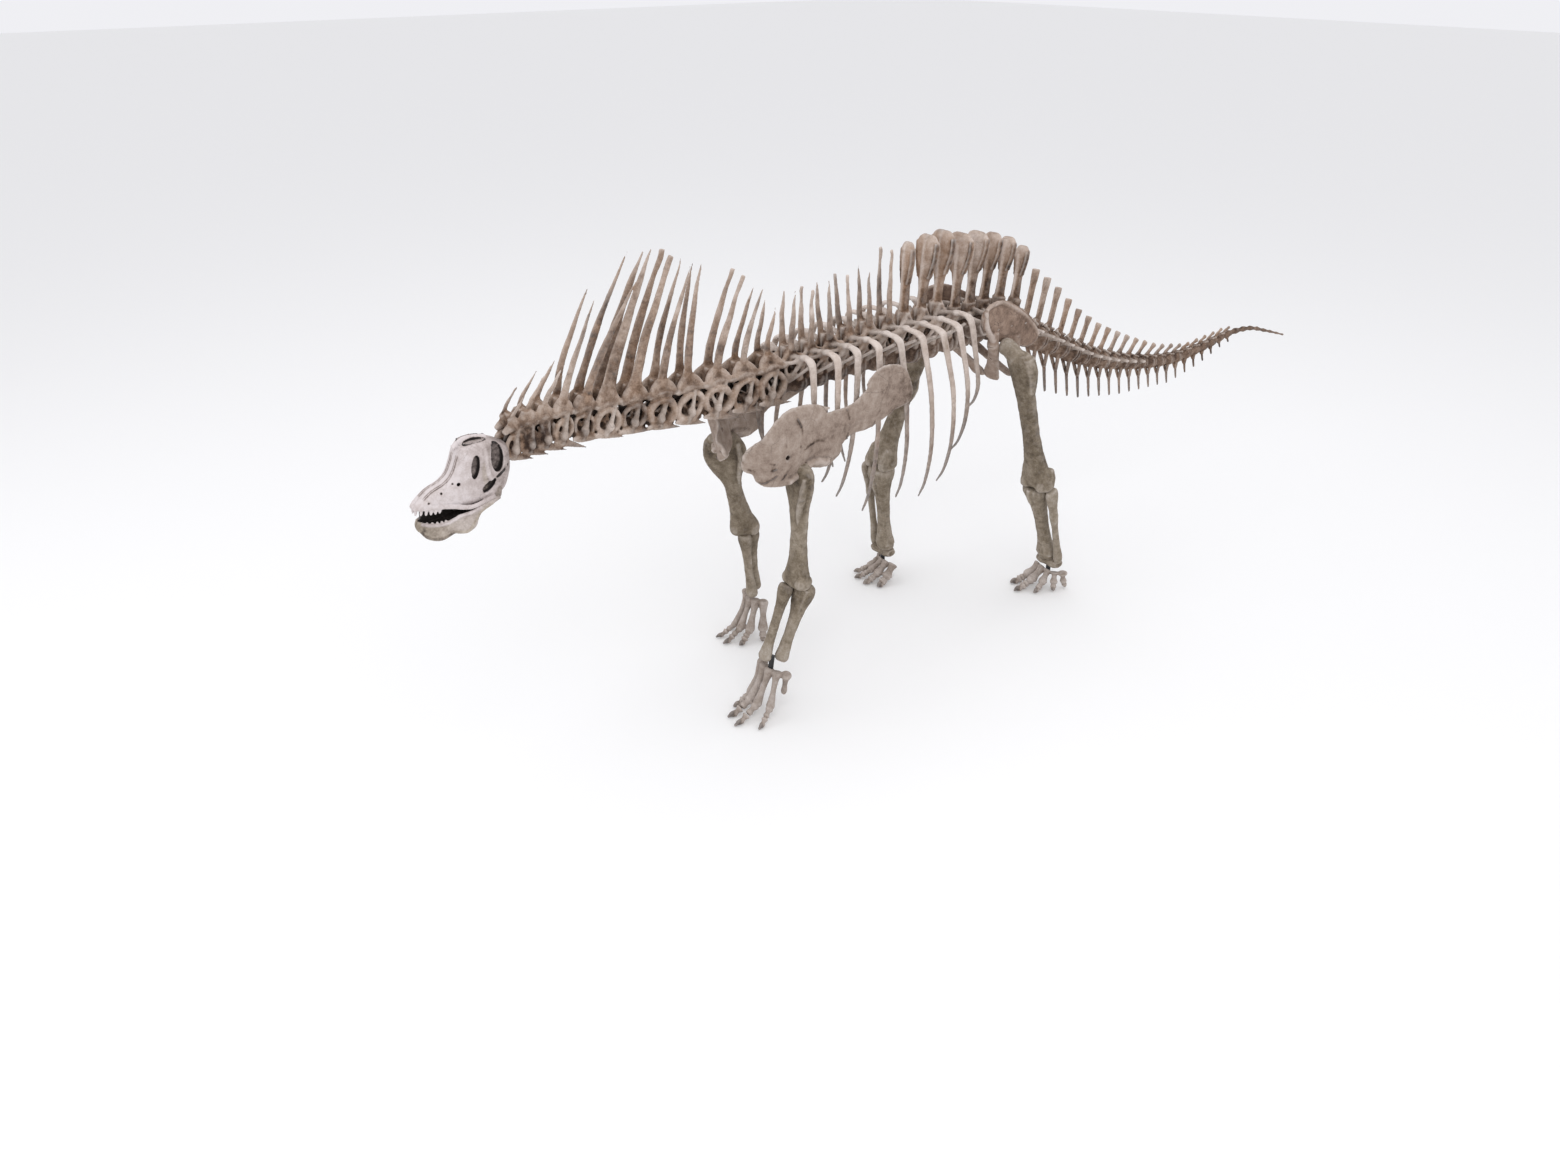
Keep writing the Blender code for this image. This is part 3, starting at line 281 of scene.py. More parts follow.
def cast(name, clay, grain, paint, coarse=0.004, fine=0.0018, flat_sole=False, keep=1.0):
    """Fuses the bars of a bone at the given grain, cuts, smooths and roughens it, and paints it. Grain
    and lumps are in metres; keep is the share of its triangles that stay."""
    raw = bpy.data.meshes.new(name)
    clay["joined"].to_mesh(raw)
    tree = BVHTree.FromBMesh(clay["joined"])
    clay["joined"].free()
    piece = bpy.data.objects.new(name, raw)
    bpy.context.scene.collection.objects.link(piece)
    fuse = piece.modifiers.new("fuse", "REMESH")
    fuse.mode = "VOXEL"
    fuse.voxel_size = grain
    if clay["cuts"]:
        cutters = bpy.data.collections.new(name + "_cuts")
        bpy.context.scene.collection.children.link(cutters)
        for mesh in clay["cuts"]:
            cutters.objects.link(bpy.data.objects.new("cut", mesh))
        carve = piece.modifiers.new("carve", "BOOLEAN")
        carve.operation, carve.operand_type, carve.solver = "DIFFERENCE", "COLLECTION", "MANIFOLD"
        carve.collection = cutters
        again = piece.modifiers.new("fuse_again", "REMESH")
        again.mode = "VOXEL"
        again.voxel_size = grain
    soften = piece.modifiers.new("soften", "SMOOTH")
    soften.factor, soften.iterations = 0.5, 3
    for texture, strength in ((COARSE_LUMPS, coarse), (FINE_LUMPS, fine)):
        lumps = piece.modifiers.new("lumps", "DISPLACE")
        lumps.texture, lumps.strength, lumps.texture_coords = texture, strength, "LOCAL"
    if keep < 1.0:
        piece.modifiers.new("thin", "DECIMATE").ratio = keep
    mesh = bpy.data.meshes.new_from_object(piece.evaluated_get(bpy.context.evaluated_depsgraph_get()))
    piece.modifiers.clear()
    if clay["cuts"]:
        for item in list(cutters.objects):
            bpy.data.objects.remove(item)
        bpy.data.collections.remove(cutters)
    piece.data = mesh
    mesh.name = name
    mesh.shade_smooth()
    count = len(mesh.vertices)
    places = np.empty(count * 3)
    normals = np.empty(count * 3)
    ends = np.empty(len(mesh.edges) * 2, int)
    mesh.vertices.foreach_get("co", places)
    mesh.vertices.foreach_get("normal", normals)
    mesh.edges.foreach_get("vertices", ends)
    places, normals, ends = places.reshape(-1, 3), normals.reshape(-1, 3), ends.reshape(-1, 2)
    # relief: how far a point lies above or below the smoothed skin; the paint uses it for painted shade in
    # hollows and painted highlight on ridges
    height = ((places - spread(places, ends, RELIEF_ROUNDS)) * normals).sum(axis=1, keepdims=True)
    relief = spread(np.clip(0.5 + height / (2 * RELIEF_DEPTH), 0.0, 1.0), ends, 1)
    tones = np.array(clay["tones"])
    nearest = np.array([tree.find_nearest(point)[2] for point in places])
    coat = spread(tones[nearest], ends, 3)
    for label, values in (("relief", relief[:, 0]), ("tone", coat[:, 0]), ("warm", coat[:, 1])):
        mesh.attributes.new(label, "FLOAT", "POINT").data.foreach_set("value", values)
    if flat_sole:
        places[:, 2] = places[:, 2].clip(0.0)
    mesh.vertices.foreach_set("co", (places + np.array(SHIFT)).ravel())
    mesh.update()
    mesh.materials.clear()
    mesh.materials.append(paint)
    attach(piece, "root")
    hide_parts(name)


# size of the noise, as a scale, and its share in the paint: stains 300 mm apart, mottling of 40 mm,
# and specks of 9 mm, as fine as the picture shows
NOISES = {"stain": (3.3, 0.85), "mottle": (24.0, 0.78), "speck": (110.0, 0.44)}
NOISE_MIDDLE = 1.07              # sum of the three when each is at its usual value


def bone_paint(name, cool, warm, crack_strength=0.5, hollow_shade_and_crack="#2a1d16", drybrush_and_highlight="#ddd3cb"):
    """Matte acrylic over resin. The lists run from the dark wash, also used as painted shade, to the
    dry-brushed top colour; tone picks a place in them, and warm goes from the cool list to the warm one.
    Hollows of the surface are darkened as painted shade over the wash, and ridges paled as painted
    highlight over the dry-brushing."""
    material, tree, shader = new_paint(name)
    object_space = add_node(tree, "ShaderNodeTexCoord").outputs["Object"]
    value = {label: add_node(tree, "ShaderNodeAttribute", {"attribute_name": label}).outputs["Fac"]
             for label in ("tone", "warm", "relief")}
    noise = {label: add_node(tree, "ShaderNodeTexNoise", {},
                             {"Vector": object_space, "Scale": scale, "Detail": 5.0,
                              "Roughness": 0.6}).outputs["Fac"] for label, (scale, _) in NOISES.items()}

    def math_node(operation, first, second, third=0.0):
        return add_node(tree, "ShaderNodeMath", {"operation": operation},
                        {0: first, 1: second, 2: third}).outputs[0]

    def rise(value, start, end, low=0.0, high=1.0):
        """Value as it goes from start to end, mapped to low and high, and clamped."""
        return add_node(tree, "ShaderNodeMapRange", {}, {"Value": value, "From Min": start, "From Max": end,
                                                         "To Min": low, "To Max": high}).outputs[0]

    level = value["tone"]
    for label, (_, share) in NOISES.items():
        level = math_node("MULTIPLY_ADD", noise[label], share, level)
    level = math_node("SUBTRACT", level, NOISE_MIDDLE)

    def ramp(colours):
        node = add_node(tree, "ShaderNodeValToRGB", {}, {"Fac": level})
        stops = node.color_ramp.elements
        while len(stops) < len(colours):
            stops.new(0.5)
        for i, colour in enumerate(colours):
            stops[i].position = i / (len(colours) - 1)
            stops[i].color = linear(colour)
        return node.outputs["Color"]

    def mix_colours(factor, first, second):
        node = add_node(tree, "ShaderNodeMixRGB", {}, {"Fac": factor, "Color1": first, "Color2": second})
        return node.outputs["Color"]

    colour = mix_colours(value["warm"], ramp(cool), ramp(warm))
    # painted shade: points lying below the smoothed skin go towards the dark brown, over the brown wash in
    # the hollows
    colour = mix_colours(rise(value["relief"], 0.47, 0.12, high=0.85), colour, linear(hollow_shade_and_crack))
    # painted highlight: points standing above the smoothed skin go towards the pale colour, together with
    # the dry-brushing
    colour = mix_colours(rise(value["relief"], 0.56, 0.95, high=0.55), colour, linear(drybrush_and_highlight))
    # hairline cracks between plates of about 120 mm, bent by noise, drawn 3 mm wide so that they show
    bent = add_node(tree, "ShaderNodeVectorMath", {"operation": "MULTIPLY_ADD"},
                    {0: add_node(tree, "ShaderNodeTexNoise", {}, {"Vector": object_space, "Scale": 9.0}
                                 ).outputs["Color"], 1: (0.07, 0.07, 0.07), 2: object_space}).outputs[0]
    plates = add_node(tree, "ShaderNodeTexVoronoi", {"feature": "DISTANCE_TO_EDGE"},
                      {"Vector": bent, "Scale": 8.0}).outputs["Distance"]
    crack = math_node("MULTIPLY", rise(plates, 0.012, 0.0, high=crack_strength),
                      rise(noise["stain"], 0.48, 0.58))
    colour = mix_colours(crack, colour, linear(hollow_shade_and_crack))
    tree.links.new(colour, shader.inputs["Base Color"])
    tree.links.new(rise(noise["mottle"], 0.0, 1.0, 0.62, 0.92), shader.inputs["Roughness"])
    shader.inputs["Specular IOR Level"].default_value = 0.3
    height = math_node("MULTIPLY_ADD", noise["speck"], 0.6, math_node("MULTIPLY", noise["mottle"], 0.8))
    height = math_node("SUBTRACT", height, math_node("MULTIPLY", crack, 0.8))
    bump = add_node(tree, "ShaderNodeBump", {}, {"Height": height, "Strength": 0.55, "Distance": 0.004})
    tree.links.new(bump.outputs["Normal"], shader.inputs["Normal"])
    return material


# foot bones: cool lilac grey with a brown wash; the claws are the dark end of the same list
FOOT_COLOURS = ["#2b2421", "#4d443f", "#75695f", "#94877d", "#aa9f97", "#bcb2ab"]
FOOT_PAINT = bone_paint("matte_acrylic_on_resin_feet", FOOT_COLOURS, FOOT_COLOURS)
ANKLE = {"left": Vector((1.71, -0.38, 0.205)), "right": Vector((0.90, 0.42, 0.205))}
WRIST = {"left": Vector((-0.76, -0.35, 0.325)), "right": Vector((-0.33, 0.36, 0.31))}
# (x, y) where a toe ends on the floor; the short outer toe of the left hand ends above it
FORE_TOES = {"left": [(-0.94, -0.22), (-1.03, -0.28), (-1.05, -0.37), (-0.96, -0.48), (-0.71, -0.40, 0.11)],
             "right": [(-0.34, 0.24), (-0.50, 0.28), (-0.57, 0.36), (-0.56, 0.45), (-0.42, 0.48)]}
HIND_TOES = {"left": [(1.53, -0.21), (1.46, -0.30), (1.55, -0.40), (1.68, -0.46), (1.80, -0.47)],
             "right": [(0.74, 0.30), (0.69, 0.39), (0.70, 0.49), (0.76, 0.56), (0.88, 0.56)]}
FORE_PALM_TOP = 0.27
FORE_SPREAD = {"left": 0.048, "right": 0.042}
HIND_SOLE_TOP = 0.125
FOOT_ARC = 0.20
TOE_STOUTNESS = [1.22, 1.12, 1.0, 0.92, 0.84]


def foot(name, top, toes, top_z, knuckle_z, spread_step, thick, claws):
    """Long bones of a palm or sole in an arc, with toes that end on the floor."""
    clay = new_clay()
    middle = (len(toes) - 1) / 2
    ahead = Vector((toes[2][0] - top.x, toes[2][1] - top.y, 0.0)).normalized()
    beside = Vector((-ahead.y, ahead.x, 0.0))
    if Vector((toes[-1][0] - toes[0][0], toes[-1][1] - toes[0][1], 0.0)).dot(beside) < 0:
        beside = -beside
    for i, toe in enumerate(toes):
        stout = thick * TOE_STOUTNESS[i]
        head = Vector((top.x, top.y, top_z)) + beside * (i - middle) * spread_step \
            - ahead * (i - middle)**2 * spread_step * FOOT_ARC
        if len(toe) > 2:
            end = Vector(toe)
            loft(clay, [(head, thick * 0.9), (head.lerp(end, 0.10), thick * 1.24),
                        (head.lerp(end, 0.28), stout * 0.86), (head.lerp(end, 0.60), stout * 0.66),
                        (head.lerp(end, 0.86), stout * 0.86), (end, stout * 0.62)], across=beside,
                 tone=(0.62, 0.5, 0.7))
            continue
        end = Vector((*toe, 0.0))
        flat = Vector((end.x - head.x, end.y - head.y, 0.0))
        side = Vector((-flat.y, flat.x, 0.0)).normalized()
        knuckle = Vector((head.x, head.y, knuckle_z)) + flat * 0.36
        run = knuckle - head
        loft(clay, [(head - run * 0.03, thick * 0.90, thick * 0.94),
                    (head + run * 0.05, thick * 1.22, thick * 1.24),
                    (head + run * 0.22, stout * 0.80, stout * 0.86),
                    (head + run * 0.52, stout * 0.62, stout * 0.66),
                    (head + run * 0.80, stout * 0.84, stout * 0.84),
                    (head + run * 0.97, stout * 1.04, stout * 0.98),
                    (head + run * 1.06, stout * 0.80, stout * 0.80)], across=side, tone=(0.62, 0.78))
        first = Vector((head.x, head.y, knuckle_z * 0.56)) + flat * 0.62
        second = Vector((head.x, head.y, thick * 0.52)) + flat * 0.84
        tip = Vector((end.x, end.y, 0.010))
        for start, finish, big, small in ((knuckle, first, 0.98, 0.84), (first, second, 0.86, 0.70)):
            step = finish - start
            loft(clay, [(start + step * 0.16, stout * big * 0.7), (start + step * 0.24, stout * big),
                        (start + step * 0.55, stout * small * 0.66),
                        (start + step * 0.86, stout * small * 0.92),
                        (start + step * 1.02, stout * small * 0.66)], across=side, tone=(0.80, 0.66))
        if i < claws:
            lift = UP * stout * 0.55
            loft(clay, [(second - flat * 0.03 + lift * 0.2, stout * 0.50, stout * 0.62),
                        (second.lerp(tip, 0.25) + lift * 0.45, stout * 0.46, stout * 0.62),
                        (second.lerp(tip, 0.62) + lift * 0.35, stout * 0.32, stout * 0.42),
                        (tip, 0.006, 0.007)], across=side, tone=(0.42, 0.10))
        else:
            knob(clay, second.lerp(tip, 0.4), (stout * 0.5, stout * 0.55, stout * 0.42), along=flat,
                 tone=0.5)
    cast(name, clay, 0.0045, FOOT_PAINT, coarse=0.003, fine=0.0016, flat_sole=True)


for side_name in ("left", "right"):
    foot("pes_" + side_name, ANKLE[side_name], HIND_TOES[side_name], HIND_SOLE_TOP, knuckle_z=0.060,
         spread_step=0.046, thick=0.029, claws=5)
    foot("manus_" + side_name, WRIST[side_name] - ALONG * 0.015, FORE_TOES[side_name], FORE_PALM_TOP,
         knuckle_z=0.080, spread_step=FORE_SPREAD[side_name], thick=0.027, claws=4)

# Legs. Each is a shin of two bones on a roller-shaped ankle bone, and a thigh bone with a turned-in
# head. They are hollow resin casts on inner steel, painted olive brown with paler knuckles.
LEG_PAINT = bone_paint("matte_acrylic_on_resin_legs",
                       ["#2c241b", "#4b4034", "#6f6353", "#8a7e6e", "#a0968a", "#b6aea5"],
                       ["#2e211a", "#513f33", "#7a6454", "#97806f", "#ab988b", "#bdb0a7"])
# middle of each joint
HIP = {"left": Vector((1.20, -0.30, 1.83)), "right": Vector((1.20, 0.30, 1.83))}
KNEE = {"left": Vector((1.48, -0.41, 0.83)), "right": Vector((0.78, 0.39, 0.87))}
OUT = {"left": -ACROSS, "right": ACROSS}


def line(start, finish):
    """Function that gives the place at a share of the way from start to finish."""
    return lambda share: start.lerp(finish, share)


def shaft(clay, top, bottom, rows, across=ACROSS, tone=(0.6, 0.55), bend=Vector()):
    """Long bone from a table of (share of the length, half width across, half width fore and aft)."""
    down = line(top, bottom)
    loft(clay, [(down(share) + bend * math.sin(math.pi * share), a, b)
                for share, a, b in rows], across=across, sides=16, tone=tone)


for side_name in ("left", "right"):
    hip, knee, ankle, out = HIP[side_name], KNEE[side_name], ANKLE[side_name], OUT[side_name]
    # ankle bone: a roller across the shin, hollowed behind
    clay = new_clay()
    loft(clay, [(ankle - out * 0.085, 0.036, 0.024), (ankle - out * 0.05, 0.052, 0.036),
                (ankle, 0.050, 0.031), (ankle + out * 0.055, 0.054, 0.036),
                (ankle + out * 0.085, 0.040, 0.025)], across=ALONG, tone=0.5)
    cast("astragalus_" + side_name, clay, 0.0045, LEG_PAINT)

    # shin bone: wide top with a crest in front, waisted shaft, and a foot of two lips
    clay = new_clay()
    top, bottom = knee - out * 0.025 + UP * 0.015, ankle - out * 0.02 + UP * 0.03
    down = line(top, bottom)
    front = -ALONG
    shaft(clay, top, bottom,
          [(0.0, 0.074, 0.066), (0.02, 0.090, 0.082), (0.08, 0.094, 0.086), (0.18, 0.072, 0.070),
           (0.32, 0.052, 0.054), (0.60, 0.044, 0.044), (0.78, 0.052, 0.048), (0.91, 0.068, 0.058),
           (0.98, 0.066, 0.054), (1.0, 0.054, 0.044)])
    crest = down(0.04) + front * 0.070
    loft(clay, [(crest, 0.016, 0.022), (down(0.13) + front * 0.080, 0.017, 0.026),
                (down(0.24) + front * 0.060, 0.014, 0.022),
                (down(0.36) + front * 0.040, 0.010, 0.014)], tone=(0.62, 0.5))
    knob(clay, down(0.03) - out * 0.035 - front * 0.03, (0.030, 0.052, 0.05), tone=0.62)
    knob(clay, down(0.03) + out * 0.038 - front * 0.025, (0.028, 0.046, 0.05), tone=0.62)
    for rim in (-1, 1):
        loft(clay, [(down(0.74) + out * rim * 0.036, 0.012, 0.022),
                    (down(0.94) + out * rim * 0.050, 0.020, 0.044)], tone=0.62)
    cast("tibia_" + side_name, clay, 0.0055, LEG_PAINT, coarse=0.007)

    # outer shin bone: a slim strap with a rough patch where a muscle held
    clay = new_clay()
    top, bottom = knee + out * 0.105 + UP * 0.01, ankle + out * 0.075 + UP * 0.02
    down = line(top, bottom)
    shaft(clay, top, bottom,
          [(0.0, 0.022, 0.042), (0.03, 0.029, 0.052), (0.10, 0.030, 0.052), (0.25, 0.022, 0.036),
           (0.36, 0.023, 0.036), (0.50, 0.020, 0.026), (0.75, 0.021, 0.026), (0.92, 0.027, 0.037),
           (1.0, 0.022, 0.030)], tone=(0.7, 0.62))
    knob(clay, down(0.36) + out * 0.014, (0.05, 0.016, 0.02), tone=0.7)
    cast("fibula_" + side_name, clay, 0.0045, LEG_PAINT)

    # thigh bone
    clay = new_clay()
    top, bottom = hip + out * 0.085 - UP * 0.01, knee
    down = line(top, bottom)
    shaft(clay, top, bottom,
          [(0.0, 0.062, 0.040), (0.02, 0.092, 0.054), (0.06, 0.108, 0.062), (0.14, 0.098, 0.058),
           (0.26, 0.076, 0.053), (0.42, 0.065, 0.050), (0.62, 0.063, 0.051), (0.78, 0.078, 0.058),
           (0.88, 0.106, 0.070), (0.94, 0.118, 0.072), (0.97, 0.100, 0.060)],
          tone=(0.58, 0.46, 0.40, 0.52, 0.44))
    head = hip - out * 0.035 + UP * 0.008
    loft(clay, [(top - out * 0.01 - UP * 0.045, 0.066, 0.052),
                (hip + out * 0.01 - UP * 0.010, 0.060, 0.050), (head, 0.060, 0.055),
                (head - out * 0.022 + UP * 0.006, 0.046, 0.042)], tone=0.66)
    loft(clay, [(down(0.02) + out * 0.070, 0.030, 0.045), (down(0.12) + out * 0.086, 0.022, 0.045),
                (down(0.27) + out * 0.062, 0.014, 0.030)], tone=0.52)
    behind = ALONG
    loft(clay, [(down(0.36) - out * 0.030 + behind * 0.042, 0.010, 0.012),
                (down(0.46) - out * 0.034 + behind * 0.058, 0.014, 0.020),
                (down(0.54) - out * 0.030 + behind * 0.044, 0.010, 0.012)], tone=0.7)
    for rim, wide in ((-1, 0.046), (1, 0.048)):
        centre = down(0.945) + out * rim * 0.062
        loft(clay, [(centre + UP * 0.10 + behind * 0.020, wide * 0.7, 0.040),
                    (centre + UP * 0.03 + behind * 0.012, wide, 0.072),
                    (centre - UP * 0.020, wide * 1.02, 0.082), (centre - UP * 0.045, wide * 0.9, 0.066)],
             tone=0.58)
    scoop(clay, [(down(0.90) + behind * 0.115, 0.018, 0.020), (down(1.0) + behind * 0.105, 0.026, 0.040),
                 (down(1.08) + behind * 0.10, 0.026, 0.040)])
    cast("femur_" + side_name, clay, 0.006, LEG_PAINT, coarse=0.008)

# Arms. Upper arm bone with a broad flat top and a crest, and two forearm bones that cross a little.
# Cast and painted as the legs are.
SHOULDER = {"left": Vector((-0.59, -0.345, 1.50)), "right": Vector((-0.61, 0.345, 1.46))}
ELBOW = {"left": Vector((-0.59, -0.355, 0.75)), "right": Vector((-0.40, 0.35, 0.75))}
ARM_ACROSS = {"left": ACROSS, "right": Vector((-0.80, 0.60, 0.0))}
for side_name in ("left", "right"):
    shoulder, elbow, wrist, out = SHOULDER[side_name], ELBOW[side_name], WRIST[side_name], OUT[side_name]
    broad = ARM_ACROSS[side_name]
    clay = new_clay()
    top, bottom = shoulder, elbow
    down = line(top, bottom)
    crown, neck = (0.136, 0.116) if side_name == "right" else (0.113, 0.080)
    shaft(clay, top, bottom,
          [(-0.03, 0.060, 0.034), (0.01, 0.100, 0.050), (0.05, 0.116, 0.053), (0.16, crown, 0.047),
           (0.30, neck, 0.043), (0.46, 0.060, 0.043), (0.62, 0.055, 0.045), (0.80, 0.070, 0.050),
           (0.90, 0.092, 0.060), (0.96, 0.096, 0.058), (0.985, 0.080, 0.046)], across=broad,
          tone=(0.56, 0.42, 0.58, 0.46, 0.62), bend=out * 0.01)
    flat_side = out if side_name == "left" else -broad
    crest_front = UP.cross(broad).normalized()
    if crest_front.x > 0:
        crest_front = -crest_front
    loft(clay, [(down(0.05) + flat_side * 0.088 + crest_front * 0.030, 0.016, 0.018),
                (down(0.20) + flat_side * 0.086 + crest_front * 0.050, 0.018, 0.026),
                (down(0.34) + flat_side * 0.056 + crest_front * 0.044, 0.015, 0.020),
                (down(0.46) + flat_side * 0.036 + crest_front * 0.026, 0.010, 0.012)],
         across=broad, tone=0.52)
    knob(clay, down(0.02) - flat_side * 0.02, (0.036, 0.070, 0.056), across=broad, tone=0.58)
    for rim in (-1, 1):
        knob(clay, down(0.935) + broad * rim * 0.052, (0.050, 0.044, 0.062), across=broad, tone=0.58)
    scoop(clay, [(down(0.86) - crest_front * 0.075, 0.020, 0.012),
                 (down(0.96) - crest_front * 0.075, 0.028, 0.024),
                 (down(1.06) - crest_front * 0.070, 0.028, 0.024)], across=broad)
    cast("humerus_" + side_name, clay, 0.0055, LEG_PAINT, coarse=0.007)

    side_step = out * 0.035
    clay = new_clay()
    top, bottom = elbow + ALONG * 0.045 + side_step + UP * 0.02, wrist + ALONG * 0.040 + out * 0.026
    down = line(top, bottom)
    shaft(clay, top, bottom,
          [(0.0, 0.040, 0.040), (0.04, 0.058, 0.060), (0.14, 0.064, 0.066), (0.28, 0.048, 0.050),
           (0.44, 0.036, 0.039), (0.70, 0.032, 0.034), (0.86, 0.037, 0.038), (0.95, 0.043, 0.040),
           (1.0, 0.034, 0.032)], tone=(0.5, 0.44, 0.58, 0.66, 0.56))
    for rim in (-1, 1):
        loft(clay, [(down(0.03) + ACROSS * rim * 0.044 - ALONG * 0.028, 0.018, 0.022),
                    (down(0.18) + ACROSS * rim * 0.040 - ALONG * 0.026, 0.014, 0.020),
                    (down(0.42) + ACROSS * rim * 0.022 - ALONG * 0.012, 0.010, 0.012)], tone=0.5)
    cast("ulna_" + side_name, clay, 0.005, LEG_PAINT, coarse=0.006)

    clay = new_clay()
    top, bottom = elbow - ALONG * 0.045 - side_step + UP * 0.015, wrist - ALONG * 0.034 - out * 0.034
    shaft(clay, top, bottom,
          [(0.0, 0.038, 0.028), (0.03, 0.048, 0.037), (0.10, 0.050, 0.038), (0.24, 0.036, 0.030),
           (0.42, 0.030, 0.026), (0.72, 0.030, 0.026), (0.88, 0.039, 0.032), (0.95, 0.045, 0.037),
           (1.0, 0.036, 0.028)], tone=(0.5, 0.46, 0.56, 0.76, 0.7))
    cast("radius_" + side_name, clay, 0.0045, LEG_PAINT, coarse=0.005)

# Shoulder blades. Each is one thin curved plate with the coracoid fused to its front, held to the
# ribs by a bracket behind it. The cast is greyish pink, with cracks where the real bone was mended.
BLADE_PAINT = bone_paint("matte_acrylic_on_resin_blades",
                         ["#3a2d26", "#66564b", "#8b7a6e", "#a09084", "#b0a197", "#c4b8b0"],
                         ["#382a22", "#5d4b3f", "#80695a", "#978070", "#a99488", "#bfb0a6"], 0.75)
CORACOID_FOLD = {"left": 0.0, "right": math.radians(48.0)}
# x, lower z, upper z, half thickness
BLADE = [(-0.942, 1.545, 1.585, 0.012), (-0.925, 1.515, 1.625, 0.017), (-0.895, 1.480, 1.686, 0.021),
         (-0.830, 1.430, 1.748, 0.025), (-0.740, 1.408, 1.820, 0.030), (-0.630, 1.442, 1.866, 0.038),
         (-0.530, 1.475, 1.855, 0.038), (-0.445, 1.462, 1.822, 0.034), (-0.385, 1.450, 1.800, 0.031),
         (-0.330, 1.530, 1.788, 0.026), (-0.220, 1.598, 1.786, 0.021), (-0.110, 1.600, 1.830, 0.019),
         (-0.015, 1.622, 1.895, 0.017), (0.035, 1.638, 1.972, 0.016), (0.120, 1.655, 1.960, 0.014),
         (0.205, 1.668, 1.850, 0.011), (0.256, 1.700, 1.750, 0.008)]


def blade_y(x):
    """Distance of the shoulder blade from the mid-plane at x."""
    if x > -0.55:
        return 0.335 + 0.04 * (x + 0.55)
    return 0.335 - 0.16 * (x + 0.55) if x > -0.8 else 0.375 - 0.75 * (-0.8 - x)


for side_name, side in (("left", -1.0), ("right", 1.0)):
    socket, fold = SHOULDER["left"], CORACOID_FOLD[side_name]
    shift = SHOULDER[side_name] - Vector((socket.x, side * -socket.y, socket.z))

    def on_blade(x, z, out=0.0):
        """Place on the face of the shoulder blade, whose front is turned in about the joint."""
        ahead = max(0.0, socket.x - x)
        return Vector((x + ahead * (1 - math.cos(fold)), side * (blade_y(x) + out - ahead * math.sin(fold)),
                       z)) + shift

    clay = new_clay()
    loft(clay, [(on_blade(x, (low + high) / 2), half, (high - low) / 2) for x, low, high, half in BLADE],
         sides=30, steps=4, tone=(0.62, 0.56, 0.60, 0.52, 0.56, 0.46, 0.42))
    # ridge that runs down the outer face towards the joint, and the thick lips of the joint
    loft(clay, [(on_blade(0.10, 1.80, 0.008), 0.007, 0.022), (on_blade(-0.10, 1.715, 0.010), 0.010, 0.030),
                (on_blade(-0.30, 1.665, 0.014), 0.014, 0.036), (on_blade(-0.46, 1.74, 0.016), 0.014, 0.044),
                (on_blade(-0.56, 1.82, 0.012), 0.010, 0.034)], tone=0.54)
    loft(clay, [(on_blade(-0.385, 1.480, 0.004), 0.036, 0.030),
                (on_blade(-0.50, 1.510, 0.004), 0.050, 0.028),
                (on_blade(-0.60, 1.480, 0.004), 0.052, 0.028),
                (on_blade(-0.70, 1.445, 0.004), 0.040, 0.026)], tone=0.66)
    # striations that fan over the coracoid, its hole, and mended cracks: dark threads set in the face
    scoop(clay, [(on_blade(-0.715, 1.60, 0.10), 0.012), (on_blade(-0.715, 1.60, -0.10), 0.012)], across=UP)
    for crack in ([(-0.25, 1.585), (-0.235, 1.68), (-0.255, 1.775)],
                  [(-0.80, 1.58), (-0.86, 1.61), (-0.90, 1.64)],
                  [(-0.79, 1.55), (-0.87, 1.54), (-0.92, 1.55)],
                  [(-0.78, 1.51), (-0.85, 1.47), (-0.88, 1.475)],
                  [(-0.66, 1.85), (-0.60, 1.72), (-0.62, 1.60), (-0.56, 1.52)],
                  [(-0.06, 1.60), (0.00, 1.72), (0.01, 1.83)],
                  [(-0.62, 1.60), (-0.48, 1.64), (-0.40, 1.60)],
                  [(-0.75, 1.47), (-0.70, 1.56), (-0.74, 1.70)]):
        thickness = [float(np.interp(x, [row[0] for row in BLADE], [row[3] for row in BLADE])) for x,
                     _ in crack]
        loft(clay, [(on_blade(x, z, half - 0.004), 0.0038, 0.0038) for (x, z),
                    half in zip(crack, thickness)], sides=6, tone=0.0)
    cast("scapula_" + side_name, clay, 0.0055, BLADE_PAINT, coarse=0.009)

# Backbone, drawn once. Every vertebra is placed on this line through the middle of its body. The
# tables give (x, height) and (x, half width of the bodies).
BACKBONE = [(-2.30, 1.90), (-2.00, 1.925), (-1.68, 1.91), (-1.30, 1.88), (-0.84, 1.86),
            (-0.40, 1.86), (0.20, 1.87), (0.70, 1.86), (1.10, 1.88), (1.45, 1.86),
            (1.84, 1.70), (2.47, 1.43), (3.02, 1.28), (3.50, 1.21), (3.95, 1.225),
            (4.30, 1.265), (4.60, 1.25), (4.86, 1.18), (5.15, 1.09)]
BODY_RADIUS = [(-2.30, 0.040), (-1.90, 0.050), (-1.20, 0.062), (-0.50, 0.076), (0.30, 0.086),
               (1.00, 0.096), (1.60, 0.100), (2.20, 0.078), (3.00, 0.054), (3.80, 0.038),
               (4.40, 0.024), (5.15, 0.008)]


def on_table(table, x):
    """Value at x on straight lines between the points of a table."""
    return float(np.interp(x, [row[0] for row in table], [row[1] for row in table]))


